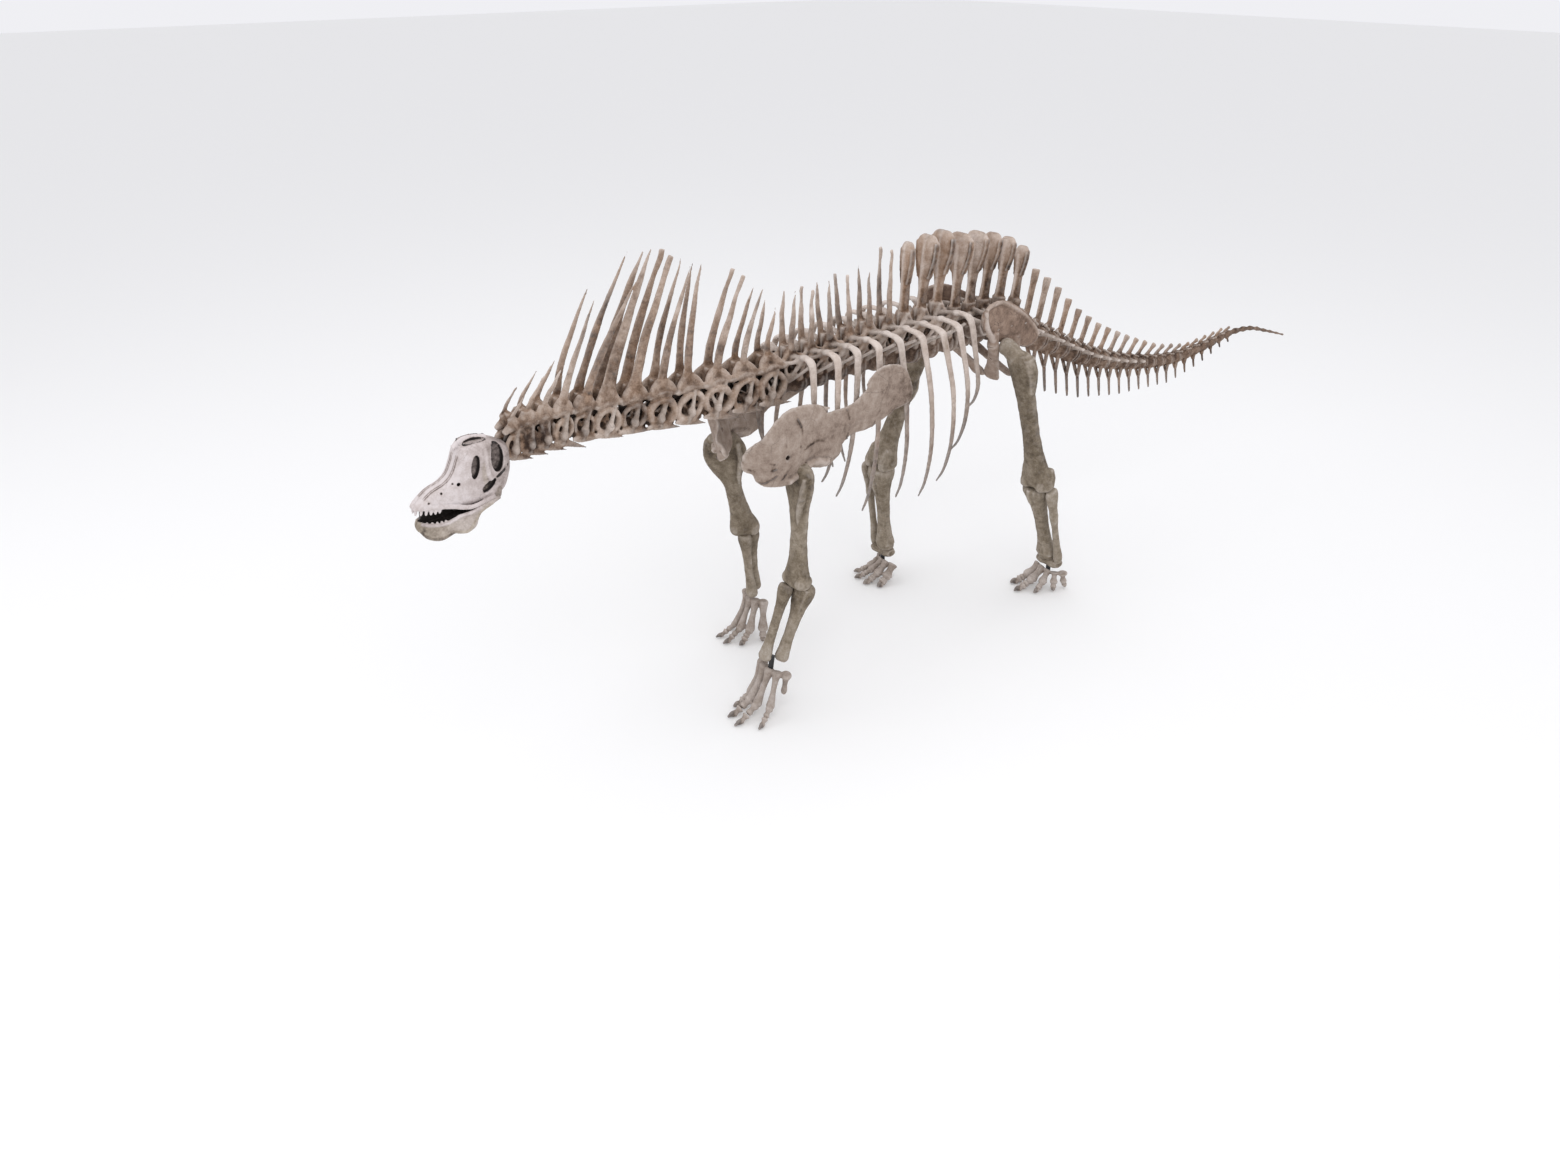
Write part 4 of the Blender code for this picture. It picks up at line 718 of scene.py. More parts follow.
def backbone_z(x):
    """Height of the backbone at x, on a smooth curve through its points."""
    last = len(BACKBONE) - 2
    i = max(0, min(last, sum(1 for px, _ in BACKBONE[1:-1] if px <= x)))
    (x1, z1), (x2, z2) = BACKBONE[i], BACKBONE[i + 1]
    x0, z0 = BACKBONE[max(i - 1, 0)]
    x3, z3 = BACKBONE[min(i + 2, last + 1)]
    slope1, slope2, span = (z2 - z0) / (x2 - x0), (z3 - z1) / (x3 - x1), x2 - x1
    t = (x - x1) / span
    return ((2 * t**3 - 3 * t**2 + 1) * z1 + (t**3 - 2 * t**2 + t) * slope1 * span
            + (3 * t**2 - 2 * t**3) * z2 + (t**3 - t**2) * slope2 * span)


def body(clay, x, radius, stations, sides, tone, warm):
    """Body of a vertebra at x from (place along it, half width and half height, in radii)."""
    loft(clay, [(at(x, along=place), radius * a, radius * b) for place, a, b in stations], sides=sides,
         tone=tone, warm=warm)


def at(x, up=0.0, along=0.0, side=0.0):
    """Point near the backbone at x: up and along follow its slope, side is across it."""
    run = Vector((0.04, 0.0, backbone_z(x + 0.02) - backbone_z(x - 0.02))).normalized()
    return Vector((x, side, backbone_z(x))) + Vector((-run.z, 0.0, run.x)) * up + run * along


# Neck. Twelve vertebrae with ball-and-cup bodies, thin struts that frame deep hollows, ribs that
# point back under the bodies, and two rows of long spines. Cast in three lengths, spines pinned on.
SPINE_PAINT = bone_paint("matte_acrylic_on_resin_backbone",
                         ["#1f1511", "#43332a", "#75655a", "#9a8d83", "#b3a69d", "#c9beb7"],
                         ["#22170f", "#513b2b", "#7b604b", "#9b7f69", "#b19a89", "#c8b7aa"], 0.35)
# x, tip x, tip z of the spines, fore-and-aft half width, blunt or pointed, rise of the right tip
NECK = [(-2.20, -2.10, 2.21, 0.016, "pointed", 0.02), (-2.11, -1.99, 2.28, 0.018, "pointed", -0.02),
        (-2.02, -1.90, 2.29, 0.022, "pointed", 0.01), (-1.92, -1.70, 2.63, 0.026, "pointed", 0.03),
        (-1.80, -1.46, 2.72, 0.030, "pointed", 0.14), (-1.66, -1.37, 2.79, 0.044, "pointed", -0.03),
        (-1.50, -1.24, 2.76, 0.040, "blunt", 0.02), (-1.32, -1.12, 2.69, 0.030, "pointed", 0.02),
        (-1.14, -1.04, 2.68, 0.030, "pointed", -0.03), (-0.95, -0.77, 2.58, 0.034, "blunt", 0.02),
        (-0.76, -0.62, 2.47, 0.028, "pointed", -0.02), (-0.57, -0.53, 2.36, 0.028, "pointed", 0.03)]
NECK_LENGTHS = {"neck_front": 4, "neck_middle": 4, "neck_rear": 4}
NECK_SPINE_GAP = 0.042
NECK_ARCH = 0.125                # height of the arches over the bodies
NECK_FREE_RIBS_END = -1.9        # the ribs ahead of this x end free, well below the bodies
BACK_START = -0.40
BACK_STEP = 0.155
CHANCE = random.Random(5)


def long_spine(clay, base, tip, side, wide, thick, blunt, bow, tone=(0.46, 0.62)):
    """Spine that leans back in a slow curve: flared foot, keel in front, and dark mended rings."""
    length = (tip - base).length
    end = 0.60 if blunt else 0.16
    rows, tones = [], []
    for share, a, b in ((0.0, 1.9, 1.9), (0.06, 1.35, 1.45), (0.14, 1.05, 1.10), (0.28, 0.92, 0.98),
                        (0.45, 0.86, 0.90), (0.62, 0.70, 0.74), (0.80, 0.52, 0.56),
                        (0.93, max(end, 0.30), max(end, 0.32)), (1.0, end, end)):
        bend = -math.sin(math.pi * share) * bow - math.sin(math.pi * min(1.0, share * 1.6)) * bow * 0.4
        wobble = ALONG * CHANCE.uniform(-0.004, 0.004) + ACROSS * CHANCE.uniform(-0.003, 0.003)
        swell = CHANCE.uniform(0.92, 1.10)
        rows.append((base.lerp(tip,
                               share) + ALONG * bend + ACROSS * side * 0.004 * math.sin(math.pi * share)
                     + wobble, thick * a * swell, wide * b * swell))
        tones.append(tone[0] + (tone[1] - tone[0]) * share + CHANCE.uniform(-0.22, 0.20))
    loft(clay, rows, sides=10, steps=3, tone=tones, warm=CHANCE.uniform(0.35, 0.95))
    keel = [(place - ALONG * b * 0.80, a * 0.34, b * 0.34) for place, a, b in rows[1:-1]]
    loft(clay, keel, sides=6, steps=2, tone=tone[0] + CHANCE.uniform(0.10, 0.30), warm=0.5)
    for k in range(max(2, int(length / 0.15))):
        i = CHANCE.uniform(1.5, 7.2)
        low, high = rows[int(i)], rows[int(i) + 1]
        share = i - int(i)
        place = low[0].lerp(high[0], share)
        a = low[1] * (1 - share) + high[1] * share
        b = low[2] * (1 - share) + high[2] * share
        run = (high[0] - low[0]).normalized() * 0.003
        loft(clay, [(place - run, a + 0.0006, b + 0.0006), (place + run, a + 0.0006, b + 0.0006)], steps=1,
             sides=10, tone=CHANCE.uniform(-0.1, 0.25), warm=0.6)


def strut(clay, start, finish, size, tone, sag=Vector(), warm=0.1):
    """Thin lamina between two places on a vertebra, half as thick again at both ends."""
    middle = start.lerp(finish, 0.5) + sag
    loft(clay, [(start, size * 1.5), (middle, size), (finish, size * 1.5)], sides=8, steps=3, tone=tone,
         warm=warm)


def hoop(clay, centre, along, up, size, tone, lean, warm):
    """Rim of bone round a hollow in the side of a vertebra: half length, half height, half thickness."""
    rows, tones = [], []
    for k in range(11):
        angle = 2 * math.pi * k / 10 + 0.3
        swell = CHANCE.uniform(0.75, 1.35) if 0 < k < 10 else 1.0
        rise = math.sin(angle) * up
        ahead = math.cos(angle) * along * CHANCE.uniform(0.94, 1.05) + rise * lean
        rows.append((centre + ALONG * ahead + UP * rise, size * swell, size * swell * 0.9))
        tones.append(tone + CHANCE.uniform(-0.14, 0.10))
    loft(clay, rows, sides=8, steps=3, tone=tones, warm=warm)


def neck_vertebra(clay, x, step, row):
    """Adds one neck vertebra."""
    _, tip_x, tip_z, wide, end, uneven = row
    r, h = on_table(BODY_RADIUS, x), step / 2
    body(clay, x, r,
         [(-h - 0.014, 0.50, 0.46), (-h + 0.004, 0.86, 0.80), (-h * 0.6, 0.80, 0.78), (0.0, 0.56, 0.64),
          (h * 0.6, 0.80, 0.80), (h - 0.002, 1.04, 1.00), (h + 0.006, 0.86, 0.82)], sides=16,
         tone=(0.30, 0.02, 0.02, 0.30), warm=0.6)
    first_one = row is NECK[0]
    set_back = h * 0.5 if first_one else 0.0
    loft(clay, [(at(x, up=r * 0.2), r * 0.40, h * 0.86), (at(x, up=r * 0.9), r * 0.36, h * 0.74),
                (at(x, up=r * 1.2 + NECK_ARCH * 0.35, along=set_back), r * 0.66, h * 0.64),
                (at(x, up=r * 1.2 + NECK_ARCH, along=set_back), r * 0.82, h * 0.46)],
         sides=14, tone=(-0.1, 0.0, 0.40, 0.50), warm=0.6)
    free_rib = x < NECK_FREE_RIBS_END

    def spot(up, along, out):
        """Place on this side of the vertebra, in shares of its radius and its half length."""
        return at(x, up=r * up, along=h * along, side=side * r * out)

    for side in (-1, 1):
        pale, tilt = CHANCE.uniform(0.40, 0.72), CHANCE.uniform(-0.25, 0.35)
        # the side of the vertebra: one deep hollow with a thick rim, crossed by a lamina
        middle = spot(0.52, -0.02, 1.08)
        hoop(clay, middle, h * CHANCE.uniform(0.80, 0.94), r * 0.70 + 0.024,
             0.006 + h * CHANCE.uniform(0.13, 0.21), pale, lean=tilt, warm=CHANCE.uniform(0.4, 0.9))
        roof = at(x, up=r * 1.2 + NECK_ARCH * 0.42, side=side * r * 0.96)
        loft(clay, [(roof - ALONG * h * 0.98 - UP * 0.010, 0.013, 0.014),
                    (roof - ALONG * h * 0.3 + UP * 0.008, 0.022, 0.022),
                    (roof + ALONG * h * 0.35 + UP * 0.006, 0.020, 0.018),
                    (roof + ALONG * h * 1.02 - UP * 0.006, 0.014, 0.015)], tone=(pale, 0.45, pale * 0.9),
             warm=0.4)
        wing = spot(0.10, -CHANCE.uniform(0.0, 0.3), 1.50)
        knob(clay, wing, (0.026, 0.022, 0.030), tone=pale, along=ACROSS, across=ALONG, warm=0.2)
        strut(clay, wing, roof + ALONG * h * CHANCE.uniform(0.3, 0.7), CHANCE.uniform(0.011, 0.015),
              tone=pale, sag=ACROSS * side * 0.006 + UP * 0.008)
        if CHANCE.random() < 0.5:
            strut(clay, wing, roof - ALONG * h * CHANCE.uniform(0.4, 0.8), 0.0110, tone=pale * 0.7,
                  sag=-ALONG * 0.008)
        # rubble of small laminae deep in the hollow
        for _ in range(4):
            start = spot(CHANCE.uniform(-0.2, 0.4), CHANCE.uniform(-0.8, 0.8), 0.80)
            finish = spot(CHANCE.uniform(0.9, 1.5), CHANCE.uniform(-0.8, 0.8), 0.72)
            strut(clay, start, finish, CHANCE.uniform(0.006, 0.010), tone=CHANCE.uniform(0.1, 0.55),
                  warm=0.8)
        strut(clay, spot(0.05, -0.1, 0.6), wing, 0.018, tone=0.3)
        # webs that rise from the roof to the foot of the spine
        root = at(x, up=r * 1.2 + NECK_ARCH * 0.86, side=side * NECK_SPINE_GAP * 0.9)
        for ahead in ((0.92,) if first_one else (-0.92, 0.92)):
            size = CHANCE.uniform(0.012, 0.017)
            loft(clay, [(roof + ALONG * ahead * h * 0.94, size, size * 1.2),
                        (roof.lerp(root, 0.55) + ALONG * ahead * h * 0.56, size * 1.3, size * 2.0),
                        (root + UP * 0.012 + ALONG * ahead * h * 0.14, size * 1.1, size * 1.6)],
                 tone=(pale, 0.6, 0.5), warm=0.5)
            knob(clay, roof + ALONG * ahead * h, (0.014, 0.020, 0.028), tone=pale * 0.95, warm=0.2)
        # the rib: against the body, with a short prong ahead; the first ones end free, below the body
        rib_root = spot(-0.70, -0.30, 1.26)
        if free_rib:
            low, length = 1.95, CHANCE.uniform(1.8, 2.4)
        else:
            low, length = CHANCE.uniform(0.95, 1.5), CHANCE.uniform(1.0, 1.7)
        rib_tail = at(x, up=-r * low, along=h * length, side=side * r * 1.22)
        strut(clay, wing, rib_root, 0.0150, tone=pale * 0.9, sag=ACROSS * side * 0.004)
        strut(clay, spot(-0.45, 0.2, 0.6), rib_root, 0.015, tone=0.35)
        loft(clay, [(rib_root - ALONG * h * 0.85 + UP * 0.006, 0.007, 0.010),
                    (rib_root - ALONG * h * 0.2, 0.014, 0.022),
                    (rib_root.lerp(rib_tail, 0.35), 0.012, 0.018),
                    (rib_root.lerp(rib_tail, 0.75), 0.006, 0.009), (rib_tail, 0.003, 0.003)], sides=10,
             tone=(0.72, 0.60, 0.38, 0.15), warm=0.4)
        if not free_rib:
            # lower flange of the body, that the rib lies on
            loft(clay, [(spot(-0.70, -0.85, 0.75), 0.014, 0.016),
                        (spot(-0.66, 0.0, 0.95), 0.018, 0.022),
                        (spot(-0.70, 0.9, 0.80), 0.014, 0.016)], tone=0.32, warm=0.7)
        for ahead in (-0.42, 0.34):
            hollow, step = h * ahead, h * 0.2
            first = at(x, up=r * 0.14, along=hollow - step, side=side * r * 0.96)
            deepest = at(x, up=r * 0.18, along=hollow, side=side * r * 0.92)
            last = at(x, up=r * 0.16, along=hollow + step, side=side * r * 0.98)
            scoop(clay, [(first, r * 0.15, r * 0.15), (deepest, r * 0.28, r * 0.34),
                         (last, r * 0.15, r * 0.17)])
        jitter = CHANCE.uniform(-0.006, 0.006)
        tip = Vector((tip_x + jitter, side * NECK_SPINE_GAP, tip_z + side * uneven / 2))
        base = at(x, up=r * 1.2 + NECK_ARCH * 0.55, side=side * NECK_SPINE_GAP * 0.9)
        long_spine(clay, base, tip, side, wide=wide * 0.80, thick=wide * 0.46, blunt=end == "blunt",
                   bow=0.020)


neck_joints = [-2.245] + [(a[0] + b[0]) / 2 for a, b in zip(NECK, NECK[1:])] + [BACK_START - BACK_STEP / 2]
first = 0
for name, count in NECK_LENGTHS.items():
    clay = new_clay()
    for i in range(first, first + count):
        neck_vertebra(clay, NECK[i][0], neck_joints[i + 1] - neck_joints[i], NECK[i])
    first += count
    cast(name, clay, 0.0050, SPINE_PAINT, coarse=0.003, fine=0.0022, keep=0.8)

# Rib cage. Nine back vertebrae, each with a pair of ribs that meet it at two heads. It was cast in a
# left and a right half; the spines are paired in front and single, broad and petal-shaped behind.
# one value for each vertebra, from the front; the spines' height and lean, and where the ribs end
BACK_SPINE_TOP = [2.42, 2.40, 2.43, 2.45, 2.46, 2.54, 2.56, 2.58, 2.59]
BACK_SPINE_LEAN = [0.01, -0.02, -0.05, -0.06, -0.04, -0.02, 0.02, 0.04, 0.02]
PAIRED_SPINES = 6
BACK_PADDLE = [0.046, 0.082, 0.090]
RIB_TIP_Z = [1.42, 1.30, 1.18, 1.03, 1.05, 1.03, 1.12, 1.29, 1.50]
RIB_TIP_X = [-0.40, -0.33, -0.22, -0.01, 0.26, 0.41, 0.52, 0.65, 0.88]
RIB_REACH = [0.25, 0.318, 0.328, 0.338, 0.352, 0.410, 0.460, 0.440, 0.340]


def paddle(clay, base, tip, width):
    """Single spine that widens across the body to a petal with a keel in front and behind."""
    pale = CHANCE.uniform(0.62, 0.92)
    tone = (0.30, 0.36, pale * 0.9, pale, pale * 0.55)
    up_to = line(base, tip)
    loft(clay, [(base - UP * 0.02, 0.040, 0.040), (up_to(0.12), 0.032, 0.034), (up_to(0.34), 0.028, 0.030),
                (up_to(0.55), width * 0.62, 0.029), (up_to(0.74), width * 0.92, 0.031),
                (up_to(0.90), width, 0.032), (up_to(0.97), width * 0.80, 0.026),
                (tip, width * 0.50, 0.014)], sides=20, steps=4, tone=tone, warm=CHANCE.uniform(0.4, 0.95))
    for ahead in (-1, 1):
        loft(clay, [(up_to(0.05) + ALONG * ahead * 0.030, 0.010, 0.010),
                    (up_to(0.45) + ALONG * ahead * 0.028, 0.010, 0.012),
                    (up_to(0.80) + ALONG * ahead * 0.030, 0.011, 0.010),
                    (up_to(0.94) + ALONG * ahead * 0.022, 0.006, 0.006)], tone=pale + 0.1, warm=0.6)
        for side in (-1, 1):
            # dark stained edge of the petal
            loft(clay, [(up_to(0.50) + ALONG * ahead * 0.012 + ACROSS * side * width * 0.50, 0.006, 0.014),
                        (up_to(0.74) + ALONG * ahead * 0.010 + ACROSS * side * width * 0.90, 0.006, 0.016),
                        (up_to(0.92) + ALONG * ahead * 0.010 + ACROSS * side * width * 0.94, 0.006, 0.014)],
                 sides=8, tone=CHANCE.uniform(0.15, 0.45), warm=0.8)
            scoop(clay, [(up_to(0.48) + ALONG * ahead * 0.046 + ACROSS * side * width * 0.34, 0.010, 0.012),
                         (up_to(0.70) + ALONG * ahead * 0.048 + ACROSS * side * width * 0.44, width * 0.26,
                          0.022), (up_to(0.88) + ALONG * ahead * 0.050 + ACROSS * side * width * 0.46,
                                   width * 0.16, 0.014)])


def rib(clay, x, side, reach, tip, lift, wing):
    """One rib: two heads, a wide upper part, and a flat blade that curves out, down and in."""
    z = backbone_z(x)
    tip_x, tip_z = tip
    drop = z - tip_z
    heads = at(x, up=lift, side=side * wing)
    rows = [(x, side * (wing + 0.005), z + lift),
            (x + (tip_x - x) * 0.06, side * (wing + reach) * 0.50, z + lift * 0.95),
            (x + (tip_x - x) * 0.16, side * (wing + reach) * 0.57, z + lift * 0.66),
            (x + (tip_x - x) * 0.45, side * reach * 0.985, z - drop * 0.18),
            (x + (tip_x - x) * 0.75, side * reach * 1.02, z - drop * 0.55),
            (x + (tip_x - x) * 0.92, side * reach * 0.93, z - drop * 0.84),
            (tip_x, side * reach * 0.80, tip_z)]
    widths = [(0.022, 0.013), (0.030, 0.014), (0.027, 0.012), (0.021, 0.011), (0.018, 0.0095),
              (0.014, 0.008), (0.009, 0.006)]
    loft(clay, [(*row, *size) for row, size in zip(rows, widths)], across=ALONG, sides=12, steps=5,
         tone=(1.0, 0.92, CHANCE.uniform(0.6, 0.85), CHANCE.uniform(0.35, 0.6), 0.22, 0.05),
         warm=CHANCE.uniform(0.1, 0.6))
    neck_of_rib = Vector(rows[2][:3])
    loft(clay, [(at(x, up=0.03, along=-0.035, side=side * 0.060), 0.018, 0.012),
                (at(x, up=lift * 0.36, along=-0.020, side=side * (0.06 + wing) * 0.52), 0.013, 0.010),
                (heads.lerp(neck_of_rib, 0.55) - UP * 0.012, 0.016, 0.010)], across=ALONG, tone=(0.5, 0.9))
    # groove down the hind edge of the upper part
    scoop(clay, [(Vector(rows[2][:3]) + ALONG * 0.020 + ACROSS * side * 0.012, 0.006, 0.005),
                 (Vector(rows[3][:3]) + ALONG * 0.016 + ACROSS * side * 0.012, 0.006, 0.005),
                 (Vector(rows[3][:3]).lerp(Vector(rows[4][:3]),
                                           0.6) + ALONG * 0.012 + ACROSS * side * 0.012, 0.004, 0.004)],
          across=ALONG, sides=8)


def trunk_body(clay, x, step, radius, tone=0.3):
    """Spool-shaped body of a back or hip vertebra, hollowed on both sides."""
    h = step / 2
    body(clay, x, radius,
         [(-h - 0.003, 0.86, 0.86), (-h * 0.86, 1.0, 0.98), (-h * 0.5, 0.80, 0.82), (0.0, 0.68, 0.74),
          (h * 0.5, 0.80, 0.82), (h * 0.86, 1.0, 0.98), (h + 0.003, 0.86, 0.86)], sides=18, tone=tone,
         warm=0.35)


def back_vertebra(clay, i, sides):
    """Adds one back vertebra with its ribs on the given sides."""
    x = BACK_START + i * BACK_STEP
    r, h = on_table(BODY_RADIUS, x), BACK_STEP / 2
    lift = 0.19 + 0.006 * i
    wing = 0.175 if RIB_REACH[i] > 0.3 else 0.15
    trunk_body(clay, x, BACK_STEP, r)
    loft(clay, [(at(x, up=r * 0.4), 0.040, h * 0.72), (at(x, up=r * 0.95), 0.030, h * 0.60),
                (at(x, up=r + 0.06), 0.034, h * 0.56), (at(x, up=lift), 0.046, h * 0.60),
                (at(x, up=lift + 0.035), 0.040, h * 0.52)], sides=14, tone=(0.22, 0.5), warm=0.4)

    def spot(up, along, out):
        """Place on this side of the vertebra, in shares of its radius and its half length."""
        return at(x, up=r * up, along=h * along, side=side * r * out)

    for side in sides:
        tip = at(x, up=lift, side=side * wing)
        knob(clay, tip, (0.030, 0.030, 0.018), tone=0.86, along=ACROSS, across=ALONG)
        loft(clay, [(at(x, up=lift * 0.86, side=side * 0.02), 0.040, 0.024),
                    (at(x, up=lift * 0.92, side=side * wing * 0.5), 0.024, 0.014), (tip, 0.026, 0.015)],
             across=ALONG, tone=(0.6, 0.88))
        front = at(x, up=r + 0.065, along=-h * 1.05, side=side * 0.042)
        back = at(x, up=r + 0.080, along=h * 1.0, side=side * 0.040)
        pale = CHANCE.uniform(0.50, 0.80)
        hoop(clay, at(x, up=r + 0.030, side=side * 0.066), h * 0.80, 0.052, CHANCE.uniform(0.012, 0.016),
             pale, lean=CHANCE.uniform(-0.1, 0.4), warm=0.4)
        for _ in range(5):
            start = at(x, up=r * CHANCE.uniform(0.5, 0.9), along=h * CHANCE.uniform(-0.8, 0.8),
                       side=side * 0.060)
            finish = at(x, up=r + CHANCE.uniform(0.04, 0.10), along=h * CHANCE.uniform(-0.8, 0.8),
                        side=side * 0.056)
            strut(clay, start, finish, CHANCE.uniform(0.006, 0.010), tone=CHANCE.uniform(0.1, 0.5),
                  warm=0.8)
        roof = at(x, up=lift + 0.03, side=side * 0.03)
        for start, finish, size in ((tip, spot(0.45, -0.62, 0.72), 0.011),
                                    (tip, spot(0.45, 0.66, 0.74), 0.012), (tip, front, 0.011),
                                    (tip, back, 0.011), (front, roof, 0.013), (back, roof, 0.013)):
            strut(clay, start, finish, size * CHANCE.uniform(0.9, 1.35), tone=CHANCE.uniform(0.4, 0.8),
                  sag=-UP * 0.012, warm=CHANCE.uniform(0.1, 0.7))
        knob(clay, front, (0.014, 0.024, 0.032), tone=0.7, warm=0.2)
        knob(clay, back, (0.014, 0.024, 0.032), tone=0.7, warm=0.2)
        scoop(clay, [(spot(0.10, -0.40, 0.98), r * 0.20, r * 0.16),
                     (spot(0.12, 0.0, 0.92), r * 0.32, r * 0.30),
                     (spot(0.10, 0.40, 0.98), r * 0.20, r * 0.16)])
        rib(clay, x, side, RIB_REACH[i], (RIB_TIP_X[i], RIB_TIP_Z[i]), lift, wing)
    tip = Vector((x + BACK_SPINE_LEAN[i], 0.0, BACK_SPINE_TOP[i]))
    base = at(x, up=r + 0.09)
    if i < PAIRED_SPINES:
        for side in (-1, 1):
            jitter = CHANCE.uniform(-0.012, 0.012)
            end = tip + ACROSS * side * 0.046 + ALONG * jitter + UP * jitter
            if side in sides:
                long_spine(clay, base + ACROSS * side * 0.036, end, side, wide=0.022, thick=0.0145,
                           blunt=i % 2 == 1, bow=0.004,
                           tone=(CHANCE.uniform(0.25, 0.5), CHANCE.uniform(0.45, 0.8)))
    else:
        paddle(clay, base, tip, BACK_PADDLE[i - PAIRED_SPINES])


for name, side in (("ribcage_left", -1), ("ribcage_right", 1)):
    clay = new_clay()
    for i in range(len(BACK_SPINE_TOP)):
        back_vertebra(clay, i, (side,))
    reach = 4.0
    sheet = bmesh.new()
    bmesh.ops.create_cube(sheet, size=reach * 2, matrix=Matrix.Translation((0.0, -side * reach, 0.0)))
    other_half = bpy.data.meshes.new("other_half")
    sheet.to_mesh(other_half)
    sheet.free()
    clay["cuts"].append(other_half)
    cast(name, clay, 0.0055, SPINE_PAINT, coarse=0.003, fine=0.0022, keep=0.66)

# Hips. Five fused vertebrae with broad petal spines, a hip blade on each side held by short ribs, and
# under it the pubic bone and the seat bone, which meet their mates below. Cast, bolted from inside.
HIP_START = BACK_START + 9 * BACK_STEP + 0.01
HIP_STEP = 0.13
HIP_SPINE_TOP = [2.55, 2.54, 2.51, 2.46, 2.38]
HIP_PADDLE = [0.094, 0.086, 0.070, 0.058, 0.046]
HIP_RIB_REACH = [0.250, 0.240, 0.232, 0.226]
clay = new_clay()
for i, top in enumerate(HIP_SPINE_TOP):
    x = HIP_START + i * HIP_STEP
    r = on_table(BODY_RADIUS, x)
    trunk_body(clay, x, HIP_STEP, r, tone=0.34)
    loft(clay, [(at(x, up=r * 0.4), 0.044, HIP_STEP * 0.46), (at(x, up=0.14), 0.040, HIP_STEP * 0.42),
                (at(x, up=0.20), 0.046, HIP_STEP * 0.34)], tone=(0.25, 0.5), warm=0.4)
    paddle(clay, at(x, up=0.16), Vector((x + 0.02 + 0.022 * i, 0.0, top)), HIP_PADDLE[i])
    for side in (-1, 1):
        scoop(clay, [(at(x, up=r * 0.1, along=-0.03, side=side * r), 0.016),
                     (at(x, up=r * 0.1, side=side * r), 0.026),
                     (at(x, up=r * 0.1, along=0.03, side=side * r), 0.016)])
        strut(clay, at(x, up=0.13, along=-0.05, side=side * 0.045),
              at(x, up=0.13, along=0.055, side=side * 0.045), 0.014, tone=0.6)
        if i < len(HIP_RIB_REACH):
            loft(clay, [(at(x, up=0.03, side=side * 0.05), 0.034, 0.040),
                        (at(x, up=0.06, side=side * 0.14), 0.018, 0.040),
                        (at(x, up=0.11, side=side * HIP_RIB_REACH[i]), 0.030, 0.048)], across=ALONG,
                 tone=0.4)
            loft(clay, [(at(x, up=0.16, side=side * 0.04), 0.012, 0.016),
                        (at(x, up=0.14, side=side * HIP_RIB_REACH[i] * 0.98), 0.014, 0.018)], across=ALONG,
                 tone=0.66)
cast("sacrum", clay, 0.0055, SPINE_PAINT, coarse=0.004, fine=0.0022, keep=0.8)

